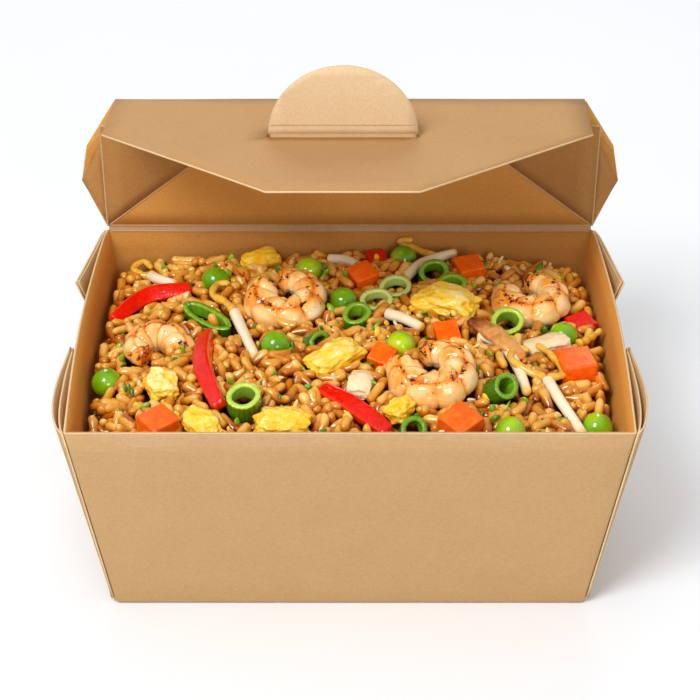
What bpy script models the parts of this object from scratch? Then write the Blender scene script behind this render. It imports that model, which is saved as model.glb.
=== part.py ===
"""Open takeaway carton of brown paperboard, filled with prawn fried rice.

Metres, +Z up. The origin is the centre of the carton's base. The front is at -Y, and the lid
stands on a crease along the rear rim. The lid is one strip in three pieces: the standing lid
panel, the front flap that lies nearly level from its top, and the half-round lock tab that is
pushed up out of the flap. The carton folds at the creases between them.
"""
import math
import random

import bmesh
import bpy
from mathutils import Euler, Matrix, Vector, noise
from mathutils.bvhtree import BVHTree

MM = 0.001

# Carton: a tapered tray of thin board
RIM_HALF_X = 78.0 * MM
RIM_HALF_Y = 62.0 * MM
BASE_HALF_X = 68.0 * MM
BASE_HALF_Y = 52.0 * MM
HEIGHT = 64.5 * MM
BOARD = 0.6 * MM
SIDE_BOW = 2.0 * MM
CREASE_ROUND = 1.0 * MM
HEM_THICKNESS = 1.8 * MM
HEM_DEPTH = 9.0 * MM
SIDE_STEPS = 8
CREASE_GAP = 0.7 * MM
REAR_RIM_DROP = 1.05 * MM
REAR_CORNER_EASE = 7.5 * MM

# Webbed corners, folded back along the side walls
FRONT_EAR_LENGTH = 48.0 * MM
FRONT_EAR_BULGE = 3.6 * MM
REAR_EAR_LENGTH = 36.0 * MM
REAR_EAR_FLARE = 3.2 * MM

# Lid panel, front flap and lock tab
HINGE_Y = RIM_HALF_Y - BOARD / 2
PANEL_HEIGHT = 44.5 * MM
PANEL_TOP_HALF_X = 73.3 * MM
EAR_LOW = (84.8 * MM, 17.1 * MM)
EAR_HIGH = (82.6 * MM, 28.7 * MM)
WEB_REACH = 4.5 * MM
WEB_TOP = (77.5 * MM, 37.4 * MM)
WEB_FOOT = (27.0 * MM, 40.0 * MM)
WEB_MOUTH = (77.9 * MM, 31.0 * MM)
FLAP_RISE_DEG = 5.0
FLAP_LENGTH = 80.0 * MM
FLAP_HALF_X = 73.0 * MM
FLAP_SHOULDER = 32.0 * MM
FLAP_NOSE_HALF_X = 21.5 * MM
TAB_FOLD = 34.8 * MM
TAB_RADIUS = 22.2 * MM
SLOT_RADIUS = 22.9 * MM
TAB_ARC_STEPS = 20
FLAP_SKEW = -2.0 * MM

# The heap of rice: its depth below the rim in the middle and along the walls
CREST_DEPTH = 8.0 * MM
EDGE_FALL = 7.0 * MM
REAR_FALL_SHARE = 0.45
CORNER_EASE = 0.45
HEAP_CLEARANCE = 0.5 * MM
HEAP_BUMP = 0.8 * MM
BUMP_SIZE = 6.5 * MM
HEAP_CELLS_X = 24
HEAP_CELLS_Y = 18
TOPPING_LIFT = 0.45 * MM

# Rice grains fused to the heap
GRAIN_LENGTH = 8.2 * MM
GRAIN_WIDTH = 3.3 * MM
GRAIN_SPACING = 8.25 * MM
GRAIN_LIFT = 1.0 * MM
GRAIN_CLEARANCE = 0.5 * MM
GRAIN_WALL_CLEARANCE = 5.0 * MM
SEED = 7

# Toppings, in millimetres from the middle of the carton: where each lies on the heap
PRAWNS = (
    # x, y, turn, outer width, height over the rice, lean to the front, span of the curl
    (-57, -4, 30, 23, 2.8, 12, 250),
    (-19, 20, 166, 26, 5.2, 18, 322),
    (56, 25, 176, 25, 4.4, 6, 312),
    (24, -23, 182, 27, 5.4, 18, 320),
)
PEAS = (
    (-71, -17), (-42, 38), (-22, -5), (-13, 44), (-2, 22),
    (17, 54), (15, -5), (64, 7), (45, -46), (70, -40),
)
CARROTS = (
    # x, y, turn in degrees, side, lean to the front
    (-54, -43, 38, 8.8, 10), (4, 38, 30, 8.2, 10), (37.5, 45, 18, 8.6, 8),
    (66, -12, 10, 10.4, 6), (31, -45, 42, 9.6, 14), (9.5, -12, 62, 7.0, 20),
    (29, 2.5, 12, 7.2, 24),
)
PEPPER_DICE = ((70.2, 17.2, 30, 7.5, 10), (8.4, 54.8, 12, 6.2, 12))
PEPPER_STRIPS = (
    # places along the strip as x, y and rise, then how far it rolls over
    (((-73, 20, 1.0), (-63, 31, 1.6), (-49, 33, 1.2)), -38),
    (((-42.6, 4, 1.2), (-42.8, -16, 2.0), (-37, -36, 0.8)), -30),
    (((-8, -28, 0.6), (1, -37, 1.2), (11, -47, 0.6)), -18),
)
EGG_PIECES = (
    # x, y, turn in degrees, length, width, height, height of its middle over the rice
    (-54, -25, 110, 11.5, 8.5, 8.0, 4.0), (-41.5, -45, 128, 13.5, 8, 8, 3.4),
    (-19, -45, 12, 15, 9.5, 8.5, 3.4), (-4, -14, 38, 16.5, 9.5, 8.5, 4.0),
    (29, 18, 158, 19, 11, 9, 4.6), (-28.5, 52, 25, 11.5, 8, 8, 3.0),
    (14, -38.5, 60, 7.5, 6.5, 6.5, 3.0),
)
ONION_RINGS = (
    # x, y, turn, tilt, lean to the front, outer radius, length, depth as a share of the width
    (-43, 12, -40, 4, 12, 9.4, 4.4, 0.36), (-30, -36, 10, 0, 30, 4.9, 7.5, 0.9),
    (2, 11, 60, 0, 18, 4.6, 5.0, 0.9), (8, 22, 20, 0, 20, 5.2, 3.8, 0.86),
    (14, 31, 30, 0, 18, 5.2, 3.8, 0.86), (26, 41, 30, 14, 20, 4.8, 5.0, 0.86),
    (31.5, 32, 10, -8, 24, 4.8, 4.6, 0.84), (47, 8, 10, 0, 36, 4.9, 6.5, 0.9),
    (43, -28, 60, 44, 8, 4.8, 6.0, 0.8), (17.5, -46, 60, 20, 30, 4.3, 3.2, 0.86),
    (-10, -2, 40, 60, 6, 4.0, 4.2, 0.7),
)
SPROUTS = (
    # places along the stem as x, y and rise
    ((-35, 14, 2.6), (-33, 7, 1.8), (-30, -3, 1.0), (-27, -12, 0.4)),
    ((-63, 48, 0.8), (-60, 43, 1.4), (-54, 38, 1.0)),
    ((17, 39, 0.8), (22, 47, 2.0), (28, 52, 2.6), (34, 56, 3.0)),
    ((11, 14, 1.2), (16, 10, 1.8), (22, 5, 1.2)),
    ((38, 1, 2.2), (45, -4, 1.8), (49, -16, 1.4), (51, -28, 0.6)),
    ((57, -20, 1.4), (60, -31, 2.0), (66, -45, 1.2)),
    ((-7, 55, 0.4), (-1, 52, 1.2), (4, 47, 0.4)),
)
PALE_PIECES = ((58.5, -1, 22, 14, 7, 6, 3.4), (3, -27, 80, 9.5, 7, 6, 3.2))

PEA_RADIUS = 4.35 * MM
PEA_LIFT = 3.0 * MM
STRIP_HALF_WIDTH = 2.7 * MM
STRIP_HALF_THICKNESS = 1.75 * MM
STRIP_LIFT = 2.0 * MM
SPROUT_RADIUS = 1.85 * MM
SPROUT_LIFT = 1.9 * MM
ONION_WALL = 1.45 * MM
LUMP_LEAN = 8.0
STRIP_OUTLINE = (
    # corners of the cut, as shares of its half width and half thickness
    (1.0, -0.75), (1.0, 0.75), (0.85, 1.0), (-0.85, 1.0),
    (-1.0, 0.75), (-1.0, -0.75), (-0.85, -1.0), (0.85, -1.0),
)


def clear_scene():
    for old in list(bpy.data.objects):
        bpy.data.objects.remove(old, do_unlink=True)


def material(name, colour, roughness, metallic=0.0):
    """A plain Principled BSDF surface."""
    surface = bpy.data.materials.new(name)
    surface.use_nodes = True
    shader = surface.node_tree.nodes["Principled BSDF"]
    shader.inputs["Base Color"].default_value = (*colour, 1.0)
    shader.inputs["Roughness"].default_value = roughness
    shader.inputs["Metallic"].default_value = metallic
    return surface


def add_object(name, bm, surface, smooth=False):
    """Turn a bmesh into a named object with one material."""
    bmesh.ops.recalc_face_normals(bm, faces=bm.faces)
    mesh = bpy.data.meshes.new(name)
    bm.to_mesh(mesh)
    bm.free()
    mesh.materials.append(surface)
    if smooth:
        mesh.shade_smooth()
    obj = bpy.data.objects.new(name, mesh)
    bpy.context.scene.collection.objects.link(obj)
    return obj


def remove_object(obj):
    bpy.data.objects.remove(obj, do_unlink=True)


def keep_largest_piece(bm):
    """Drop loose scraps, so that one closed body is left."""
    unseen = set(bm.verts)
    pieces = []
    while unseen:
        stack = [unseen.pop()]
        piece = []
        while stack:
            vert = stack.pop()
            piece.append(vert)
            for edge in vert.link_edges:
                other = edge.other_vert(vert)
                if other in unseen:
                    unseen.remove(other)
                    stack.append(other)
        pieces.append(piece)
    pieces.sort(key=len)
    for scrap in pieces[:-1]:
        bmesh.ops.delete(bm, geom=scrap, context="VERTS")


def apply_modifiers(obj, smooth=False):
    """Replace an object's mesh by its evaluated mesh, in one piece."""
    bpy.context.view_layer.update()
    evaluated = obj.evaluated_get(bpy.context.evaluated_depsgraph_get())
    bm = bmesh.new()
    bm.from_mesh(evaluated.data)
    keep_largest_piece(bm)
    obj.modifiers.clear()
    bm.to_mesh(obj.data)
    bm.free()
    if smooth:
        obj.data.shade_smooth()


def combine(target, others, operation, smooth=False):
    """Join other objects to the target, or cut them from it, and remove them."""
    for other in others:
        boolean = target.modifiers.new("join", "BOOLEAN")
        boolean.operation = operation
        boolean.object = other
    apply_modifiers(target, smooth)
    for other in others:
        remove_object(other)


def skin(bm, rings):
    """Quads between rings of equally many points, with a face over each end."""
    loops = [[bm.verts.new(point) for point in ring] for ring in rings]
    count = len(loops[0])
    for lower, upper in zip(loops, loops[1:]):
        for i in range(count):
            j = (i + 1) % count
            bm.faces.new((lower[i], lower[j], upper[j], upper[i]))
    bm.faces.new(loops[0][::-1])
    bm.faces.new(loops[-1])


def half_width(z):
    return BASE_HALF_X + (RIM_HALF_X - BASE_HALF_X) * z / HEIGHT


def half_depth(z):
    return BASE_HALF_Y + (RIM_HALF_Y - BASE_HALF_Y) * z / HEIGHT


def side_bow(y, z):
    """How far a side wall bows outwards at a height, most in the middle of the rim."""
    share = max(0.0, 1.0 - abs(y) / half_depth(z))
    return SIDE_BOW * z / HEIGHT * math.sin(math.pi / 2 * share)


def tray_ring(z, inset, front_inset=None, top=False):
    """The tray's outline at one height, moved in from its outer face."""
    front_inset = inset if front_inset is None else front_inset
    half_x = half_width(z) - inset
    rear_y = half_depth(z) - inset
    front_y = -half_depth(z) + front_inset
    corner = CREASE_ROUND
    side = []
    shares = [step / SIDE_STEPS for step in range(SIDE_STEPS)]
    run = rear_y - front_y - 2 * corner
    shares += [1 - REAR_CORNER_EASE / run, 1.0]
    for share in shares:
        y = (front_y + corner) * (1 - share) + (rear_y - corner) * share
        height = z - REAR_RIM_DROP if top and share == 1.0 else z
        side.append(Vector((half_x + side_bow(y, z), y, height)))
    rear_z = z - REAR_RIM_DROP if top else z
    ring = list(side)
    ring.append(Vector((half_x - corner, rear_y, rear_z)))
    ring.append(Vector((-half_x + corner, rear_y, rear_z)))
    ring.extend(Vector((-p.x, p.y, p.z)) for p in reversed(side))
    ring.append(Vector((-half_x + corner, front_y, z)))
    ring.append(Vector((half_x - corner, front_y, z)))
    return ring


def make_ear(side, end, length, bulge, flare, surface):
    """One folded corner web: a thin triangle from the rim down to the bottom corner."""
    steps_along = 6
    levels = (0.05, 0.5, 1.0)
    rings = []
    for level in levels:
        z = HEIGHT * level
        inner = []
        outer = []
        for step in range(steps_along + 1):
            share = step / steps_along
            y = end * (half_depth(z) - 0.3 * MM - share * length * level)
            swell = bulge * math.sin(math.pi * share ** 0.66) + flare * share ** 1.5
            wall = half_width(z) + side_bow(y, z)
            under_lid = end > 0 and step == 0 and z == HEIGHT
            top = z - REAR_RIM_DROP if under_lid else z
            inner.append(Vector((side * (wall - 0.3 * MM + swell * level), y, top)))
            reach = wall + 0.3 * MM + swell * level + 0.9 * MM * share * level
            outer.append(Vector((side * reach, y, top)))
        rings.append(inner + outer[::-1])
    bm = bmesh.new()
    skin(bm, rings)
    return add_object("ear", bm, surface)


def make_tray(surface):
    """The tray with its hemmed front rim and four folded corner webs."""
    hem_z = HEIGHT - HEM_DEPTH
    rings = [
        tray_ring(0.0, CREASE_ROUND),
        tray_ring(CREASE_ROUND, 0.0),
        tray_ring(HEIGHT, 0.0, top=True),
        tray_ring(HEIGHT, BOARD, HEM_THICKNESS, top=True),
        tray_ring(hem_z, BOARD, HEM_THICKNESS),
        tray_ring(hem_z - 1.2 * MM, BOARD),
        tray_ring(CREASE_ROUND + BOARD, BOARD),
        tray_ring(BOARD, BOARD + CREASE_ROUND),
    ]
    bm = bmesh.new()
    skin(bm, rings)
    tray = add_object("tray", bm, surface)
    ears = []
    for side in (-1, 1):
        ears.append(make_ear(side, -1, FRONT_EAR_LENGTH, FRONT_EAR_BULGE, 0.0, surface))
        ears.append(make_ear(side, 1, REAR_EAR_LENGTH, 0.0, REAR_EAR_FLARE, surface))
    combine(tray, ears, "UNION")
    return tray


def slab(bm, front_points, depth):
    """A flat or tilted polygon given thickness along +Y."""
    front = [bm.verts.new(point) for point in front_points]
    back = [bm.verts.new(Vector(point) + Vector((0, depth, 0))) for point in front_points]
    count = len(front)
    bm.faces.new(front)
    bm.faces.new(back[::-1])
    for i in range(count):
        j = (i + 1) % count
        bm.faces.new((front[j], front[i], back[i], back[j]))


def board_plate(name, outline, surface):
    """A flat panel of board in its own XZ plane, its thickness centred on y = 0."""
    bm = bmesh.new()
    slab(bm, [(x, -BOARD / 2, z) for x, z in outline], BOARD)
    return add_object(name, bm, surface)


def mirrored(right_side):
    """An outline from its right half, listed from the bottom up."""
    return list(right_side) + [(-x, z) for x, z in reversed(right_side)]


def make_lid_panel(surface):
    """The standing lid panel with the folded web and ear at each side."""
    top = PANEL_HEIGHT - CREASE_GAP
    outline = mirrored((
        (RIM_HALF_X, CREASE_GAP), EAR_LOW, EAR_HIGH, (PANEL_TOP_HALF_X, top),
    ))
    panel = board_plate("lid_panel", outline, surface)
    folds = []
    near = -BOARD
    far = near - WEB_REACH
    mouth = near - WEB_REACH * WEB_MOUTH[1] / WEB_TOP[1]
    for side in (-1, 1):
        web = bmesh.new()
        slab(web, (
            (side * RIM_HALF_X, near, CREASE_GAP),
            (side * WEB_TOP[0], far, WEB_TOP[1]),
            (side * WEB_FOOT[0], near, WEB_FOOT[1]),
        ), BOARD)
        folds.append(add_object("web", web, surface))
        ear = bmesh.new()
        slab(ear, (
            (side * (RIM_HALF_X - BOARD), near, CREASE_GAP),
            (side * EAR_LOW[0], near, EAR_LOW[1]),
            (side * WEB_MOUTH[0], mouth, WEB_MOUTH[1]),
            (side * (WEB_MOUTH[0] - BOARD), mouth, WEB_MOUTH[1]),
        ), BOARD)
        folds.append(add_object("lid_ear", ear, surface))
    combine(panel, folds, "UNION")
    panel.location = (0.0, HINGE_Y, HEIGHT)
    return panel


def half_disc(radius, start, direction):
    """Half a disc on the line z = start, bulging up or down."""
    points = []
    for step in range(TAB_ARC_STEPS + 1):
        angle = math.pi * step / TAB_ARC_STEPS
        x = FLAP_SKEW + radius * math.cos(angle)
        points.append((x, start + direction * radius * math.sin(angle)))
    return points


def make_flap(panel, surface):
    """The front flap with the half-round opening that the tab leaves."""
    outline = mirrored((
        (PANEL_TOP_HALF_X - BOARD, CREASE_GAP), (FLAP_HALF_X, FLAP_SHOULDER),
        (FLAP_NOSE_HALF_X, FLAP_LENGTH),
    ))
    outline = [(x + FLAP_SKEW * z / FLAP_LENGTH, z) for x, z in outline]
    flap = board_plate("front_flap", outline, surface)
    edge = TAB_FOLD + CREASE_GAP
    opening = half_disc(SLOT_RADIUS, TAB_FOLD, -1)
    opening += [(FLAP_SKEW - SLOT_RADIUS, edge), (FLAP_SKEW + SLOT_RADIUS, edge)]
    cutter = bmesh.new()
    slab(cutter, [(x, -BOARD, z) for x, z in opening], 2 * BOARD)
    combine(flap, [add_object("slot", cutter, surface)], "DIFFERENCE")
    flap.parent = panel
    flap.location = (0.0, 0.0, PANEL_HEIGHT)
    flap.rotation_euler = (math.radians(90.0 - FLAP_RISE_DEG), 0.0, 0.0)
    return flap


def make_tab(flap, surface):
    """The half-round lock tab, standing up from its crease in the flap."""
    arc = half_disc(TAB_RADIUS, CREASE_GAP, 1)
    tab = board_plate("lock_tab", arc, surface)
    tab.parent = flap
    tab.location = (0.0, 0.0, TAB_FOLD)
    tab.rotation_euler = (-math.radians(90.0 - FLAP_RISE_DEG), 0.0, 0.0)
    return tab


def dome_depth(u, v):
    """Depth of the rice below the rim, for shares of the way from the middle to the walls."""
    across = abs(u) ** 3.2
    along = abs(v) ** 2.8 * (REAR_FALL_SHARE if v > 0 else 1.0)
    return CREST_DEPTH + EDGE_FALL * (across + along - CORNER_EASE * across * along)


def dome_height(x, y):
    """Height of the smooth heap over a point of the base."""
    z = HEIGHT - CREST_DEPTH
    for _ in range(4):
        u = min(1.0, abs(x) / half_width(z))
        v = max(-1.0, min(1.0, y / half_depth(z)))
        z = HEIGHT - dome_depth(u, v)
    return z


def heap_point(u, v, raised):
    """A point of the bumpy top of the heap, or of the foot below it."""
    z = HEIGHT - dome_depth(u, v)
    inset = BOARD + HEAP_CLEARANCE
    y = v * (half_depth(z) - inset)
    x = u * (half_width(z) - inset + side_bow(y, z))
    bump = noise.noise(Vector((x, y, 0.0)) / BUMP_SIZE)
    return Vector((x, y, z + HEAP_BUMP * bump + raised))


def foot_point(u, v):
    z = BOARD + HEAP_CLEARANCE
    inset = z + CREASE_ROUND
    return Vector((u * (half_width(z) - inset), v * (half_depth(z) - inset), z))


def make_heap(name, surface, raised=0.0):
    """The core of the heap: it fills the tray up to an uneven dome."""
    bm = bmesh.new()
    corner = 1.0 - 0.016
    grid = []
    for j in range(HEAP_CELLS_Y + 1):
        row = []
        for i in range(HEAP_CELLS_X + 1):
            u = 2 * i / HEAP_CELLS_X - 1
            v = 2 * j / HEAP_CELLS_Y - 1
            if abs(u) == 1 and abs(v) == 1:
                u *= corner
                v *= corner
            row.append(bm.verts.new(heap_point(u, v, raised)))
        grid.append(row)
    for j in range(HEAP_CELLS_Y):
        for i in range(HEAP_CELLS_X):
            a, b = grid[j][i], grid[j][i + 1]
            c, d = grid[j + 1][i + 1], grid[j + 1][i]
            if (i + j) % 2:
                bm.faces.new((a, b, c))
                bm.faces.new((a, c, d))
            else:
                bm.faces.new((a, b, d))
                bm.faces.new((b, c, d))
    last_x = HEAP_CELLS_X
    last_y = HEAP_CELLS_Y
    around = [(i, 0) for i in range(last_x)]
    around += [(last_x, j) for j in range(last_y)]
    around += [(i, last_y) for i in range(last_x, 0, -1)]
    around += [(0, j) for j in range(last_y, 0, -1)]
    foot = []
    for i, j in around:
        u = 2 * i / last_x - 1
        v = 2 * j / last_y - 1
        foot.append(bm.verts.new(foot_point(u, v)))
    count = len(around)
    for k in range(count):
        m = (k + 1) % count
        top_a = grid[around[k][1]][around[k][0]]
        top_b = grid[around[m][1]][around[m][0]]
        bm.faces.new((foot[k], foot[m], top_b, top_a))
    bm.faces.new(foot[::-1])
    return add_object(name, bm, surface)


def tube(bm, spine, widths, heights, sides, top=(0, 0, 1)):
    """Rings of an oval section along a spine, closed at both ends."""
    rings = []
    last = len(spine) - 1
    for i, point in enumerate(spine):
        ahead = (spine[min(i + 1, last)] - spine[max(i - 1, 0)]).normalized()
        across = ahead.cross(Vector(top)).normalized()
        up = across.cross(ahead).normalized()
        ring = []
        for step in range(sides):
            angle = 2 * math.pi * step / sides
            offset = across * (widths[i] * math.cos(angle)) + up * (heights[i] * math.sin(angle))
            ring.append(point + offset)
        rings.append(ring)
    skin(bm, rings)


def on_heap(x_mm, y_mm, lift):
    """A point over the heap, from its place in millimetres."""
    x = x_mm * MM
    y = y_mm * MM
    return Vector((x, y, dome_height(x, y) + lift))


def smooth_route(points, steps, lift):
    """A quadratic or chained curve through hand-chosen places on the heap."""
    knots = [on_heap(x, y, lift + rise * MM) for x, y, rise in points]
    padded = [2 * knots[0] - knots[1]] + knots + [2 * knots[-1] - knots[-2]]
    route = []
    for k in range(len(knots) - 1):
        a, b, c, d = padded[k:k + 4]
        for step in range(steps):
            t = step / steps
            route.append(0.5 * (
                2 * b + (c - a) * t + (2 * a - 5 * b + 4 * c - d) * t * t
                + (3 * b - a - 3 * c + d) * t ** 3))
    route.append(knots[-1])
    return route


def place(bm, x_mm, y_mm, lift, turn_deg=0.0, tilt_deg=0.0, lean_deg=0.0):
    """Turn a shape made at the origin, lean it towards the front and set it on the heap."""
    turn = Euler((math.radians(tilt_deg), 0.0, math.radians(turn_deg)), "XYZ").to_matrix()
    lean = Matrix.Rotation(math.radians(lean_deg), 3, "X")
    spot = Matrix.Translation(on_heap(x_mm, y_mm, lift)) @ (lean @ turn).to_4x4()
    bmesh.ops.transform(bm, matrix=spot, verts=bm.verts)


def make_prawn(name, x, y, turn, width, lift, lean, span, surface):
    """A cooked, peeled prawn: a plump ringed body curled inwards and tapering to its tail."""
    rings = 18
    scale = width * MM / 26.0
    spine = []
    widths = []
    heights = []
    for k in range(rings + 1):
        t = k / rings
        angle = math.radians(-35.0 + span * t)
        reach = (7.6 - 2.0 * t * t) * scale
        body = 5.2 + 0.7 * math.sin(math.pi * min(1.0, t / 0.4) / 2)
        body -= 4.6 * max(0.0, t - 0.42) ** 1.2
        ripple = 1.0 + 0.04 * math.cos(2 * math.pi * k / 2)
        end = 0.62 if k in (0, rings) else 1.0
        widths.append(body * ripple * end * scale)
        heights.append(body * ripple * end * scale)
        rise = (3.0 * t - 1.2) * scale
        spine.append(Vector((reach * math.cos(angle), reach * math.sin(angle), rise)))
    bm = bmesh.new()
    tube(bm, spine, widths, heights, 8)
    place(bm, x, y, lift * MM, turn, 0.0, lean)
    return add_object(name, bm, surface, smooth=True)


def make_pea(name, x, y, surface):
    bm = bmesh.new()
    bmesh.ops.create_icosphere(bm, subdivisions=2, radius=PEA_RADIUS)
    for vert in bm.verts:
        vert.co *= 1.0 + 0.03 * math.sin(x + 900 * vert.co.x)
    place(bm, x, y, PEA_LIFT)
    return add_object(name, bm, surface, smooth=True)


def make_die(name, x, y, turn, size, lean, surface, height_share=0.9):
    """A knife-cut cube with slightly uneven faces and worn edges."""
    bm = bmesh.new()
    bmesh.ops.create_cube(bm, size=size * MM)
    for vert in bm.verts:
        vert.co.x += 0.06 * vert.co.z
        vert.co.z *= height_share
    bmesh.ops.bevel(bm, geom=list(bm.edges), offset=0.07 * size * MM, segments=1,
                    affect="EDGES", profile=0.5)
    place(bm, x, y, 0.30 * size * MM, turn, 0.0, lean)
    return add_object(name, bm, surface)


def make_lump(name, x, y, turn, length, width, height, lift, surface, roughness=0.1):
    """A soft torn piece: a sphere stretched and pushed in and out by noise."""
    bm = bmesh.new()
    bmesh.ops.create_icosphere(bm, subdivisions=2, radius=1.0)
    for vert in bm.verts:
        wave = noise.noise(vert.co * 1.6 + Vector((x, y, 0.0)))
        vert.co *= 1.0 + 2.2 * roughness * wave
        vert.co.x *= length / 2 * MM
        vert.co.y *= width / 2 * MM
        vert.co.z *= height / 2 * MM
    place(bm, x, y, lift * MM, turn, 0.0, LUMP_LEAN)
    return add_object(name, bm, surface, smooth=True)


def make_strip(name, points, roll, surface):
    """A sliced strip with square-cut sides, wider than it is thick, following the heap."""
    route = smooth_route(points, 4, STRIP_LIFT)
    last = len(route) - 1
    turn = math.cos(math.radians(roll))
    tip = math.sin(math.radians(roll))
    bm = bmesh.new()
    rings = []
    for k, point in enumerate(route):
        ahead = (route[min(k + 1, last)] - route[max(k - 1, 0)]).normalized()
        across = ahead.cross(Vector((0.0, 0.0, 1.0))).normalized()
        up = across.cross(ahead).normalized()
        taper = (0.78 + 0.22 * math.sin(math.pi * k / last)) * (0.8 if k in (0, last) else 1.0)
        ring = []
        for side, level in STRIP_OUTLINE:
            wide = side * STRIP_HALF_WIDTH * taper
            high = level * STRIP_HALF_THICKNESS
            ring.append(point + across * (wide * turn - high * tip)
                        + up * (wide * tip + high * turn))
        rings.append(ring)
    skin(bm, rings)
    return add_object(name, bm, surface)


def make_onion_ring(name, x, y, turn, tilt, lean, radius, length, squash, surface):
    """A cut length of a hollow spring onion leaf."""
    segments = 12
    outer = radius * MM
    inner = outer - ONION_WALL
    half = length / 2 * MM
    profile = ((outer, -half), (outer, half), (inner, half), (inner, -half))
    bm = bmesh.new()
    loops = []
    for r, z in profile:
        loop = []
        for step in range(segments):
            angle = 2 * math.pi * step / segments
            deep = r - (1.0 - squash) * outer
            loop.append(bm.verts.new((r * math.cos(angle), deep * math.sin(angle), z)))
        loops.append(loop)
    for k, loop in enumerate(loops):
        after = loops[(k + 1) % len(loops)]
        for i in range(segments):
            j = (i + 1) % segments
            bm.faces.new((loop[i], loop[j], after[j], after[i]))
    place(bm, x, y, 0.5 * length * MM + 0.6 * MM, turn, tilt, lean)
    return add_object(name, bm, surface, smooth=True)


def make_sprout(name, points, surface):
    """A bean sprout: a thick pale stem that thins to a root."""
    route = smooth_route(points, 4, SPROUT_LIFT)
    last = len(route) - 1
    sizes = []
    for k in range(last + 1):
        t = k / last
        sizes.append(SPROUT_RADIUS * (1.0 - 0.22 * t) * (0.6 if k in (0, last) else 1.0))
    bm = bmesh.new()
    tube(bm, route, sizes, sizes, 6)
    return add_object(name, bm, surface, smooth=True)


def make_toppings():
    """Everything that lies on the rice and is as large as a berry."""
    prawn = material("prawn", (0.86, 0.55, 0.36), 0.35)
    pea = material("pea", (0.20, 0.48, 0.05), 0.3)
    carrot = material("carrot", (0.90, 0.28, 0.05), 0.35)
    pepper = material("red_pepper", (0.72, 0.04, 0.02), 0.25)
    egg = material("egg", (0.95, 0.70, 0.18), 0.45)
    onion = material("spring_onion", (0.22, 0.50, 0.06), 0.35)
    sprout = material("bean_sprout", (0.88, 0.80, 0.60), 0.3)
    pieces = []
    for n, row in enumerate(PRAWNS, 1):
        pieces.append(make_prawn(f"prawn_{n}", *row, prawn))
    for n, (x, y) in enumerate(PEAS, 1):
        pieces.append(make_pea(f"pea_{n}", x, y, pea))
    for n, row in enumerate(CARROTS, 1):
        pieces.append(make_die(f"carrot_{n}", *row, carrot))
    for n, row in enumerate(PEPPER_DICE, 1):
        pieces.append(make_die(f"pepper_piece_{n}", *row, pepper, 0.7))
    for n, (points, roll) in enumerate(PEPPER_STRIPS, 1):
        pieces.append(make_strip(f"pepper_strip_{n}", points, roll, pepper))
    for n, row in enumerate(EGG_PIECES, 1):
        pieces.append(make_lump(f"egg_{n}", *row, egg))
    for n, row in enumerate(ONION_RINGS, 1):
        pieces.append(make_onion_ring(f"onion_ring_{n}", *row, onion))
    for n, points in enumerate(SPROUTS, 1):
        pieces.append(make_sprout(f"sprout_{n}", points, sprout))
    for n, row in enumerate(PALE_PIECES, 1):
        pieces.append(make_lump(f"pale_piece_{n}", *row, sprout, 0.05))
    return pieces


def surface_tree(obj):
    mesh = obj.data
    points = [obj.matrix_world @ vert.co for vert in mesh.vertices]
    return BVHTree.FromPolygons(points, [tuple(face.vertices) for face in mesh.polygons])


def grain_shape(bm, centre, turn, grow=0.0):
    """A plump grain: a stretched ball with few sides."""
    bmesh.ops.create_uvsphere(bm, u_segments=5, v_segments=4, radius=1.0)
    half_long = GRAIN_LENGTH / 2 + grow
    half_wide = GRAIN_WIDTH / 2 + grow
    size = Matrix.Diagonal((half_wide, half_wide * 0.92, half_long, 1.0))
    lie_down = Matrix.Rotation(math.radians(90.0), 4, "Y")
    spot = Matrix.Translation(centre) @ turn.to_matrix().to_4x4() @ lie_down @ size
    bmesh.ops.transform(bm, matrix=spot, verts=bm.verts)


def grain_is_clear(centre, turn, toppings):
    """Whether a grain misses every topping by the clearance."""
    bm = bmesh.new()
    grain_shape(bm, centre, turn, GRAIN_CLEARANCE)
    tree = BVHTree.FromBMesh(bm)
    bm.free()
    return not any(tree.overlap(other) for other in toppings)


def fuse_grains(heap, toppings, surface):
    """Spread grains evenly over the heap and join them to it."""
    draw = random.Random(SEED)
    trees = [surface_tree(topping) for topping in toppings]
    grains = bpy.data.collections.new("grains")
    bpy.context.scene.collection.children.link(grains)
    rows = int(2 * RIM_HALF_Y / GRAIN_SPACING)
    columns = int(2 * RIM_HALF_X / GRAIN_SPACING)
    for j in range(rows):
        for i in range(columns):
            x = (i + 0.5 * (j % 2) + 0.3 - columns / 2) * GRAIN_SPACING
            y = (j + 0.5 - rows / 2) * GRAIN_SPACING
            x += draw.uniform(-1.3, 1.3) * MM
            y += draw.uniform(-1.3, 1.3) * MM
            turn = Euler((0.0, math.radians(draw.uniform(-22, 22)), draw.uniform(0, math.pi)))
            centre = Vector((x, y, dome_height(x, y) + GRAIN_LIFT))
            wall_x = half_width(centre.z) - GRAIN_WALL_CLEARANCE
            wall_y = half_depth(centre.z) - GRAIN_WALL_CLEARANCE
            if abs(x) > wall_x or abs(y) > wall_y:
                continue
            if not grain_is_clear(centre, turn, trees):
                continue
            bm = bmesh.new()
            grain_shape(bm, centre, turn)
            grain = add_object("grain", bm, surface)
            bpy.context.scene.collection.objects.unlink(grain)
            grains.objects.link(grain)
    union = heap.modifiers.new("fuse", "BOOLEAN")
    union.operation = "UNION"
    union.operand_type = "COLLECTION"
    union.collection = grains
    apply_modifiers(heap, smooth=True)
    for grain in list(grains.objects):
        remove_object(grain)
    bpy.data.collections.remove(grains)


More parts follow.
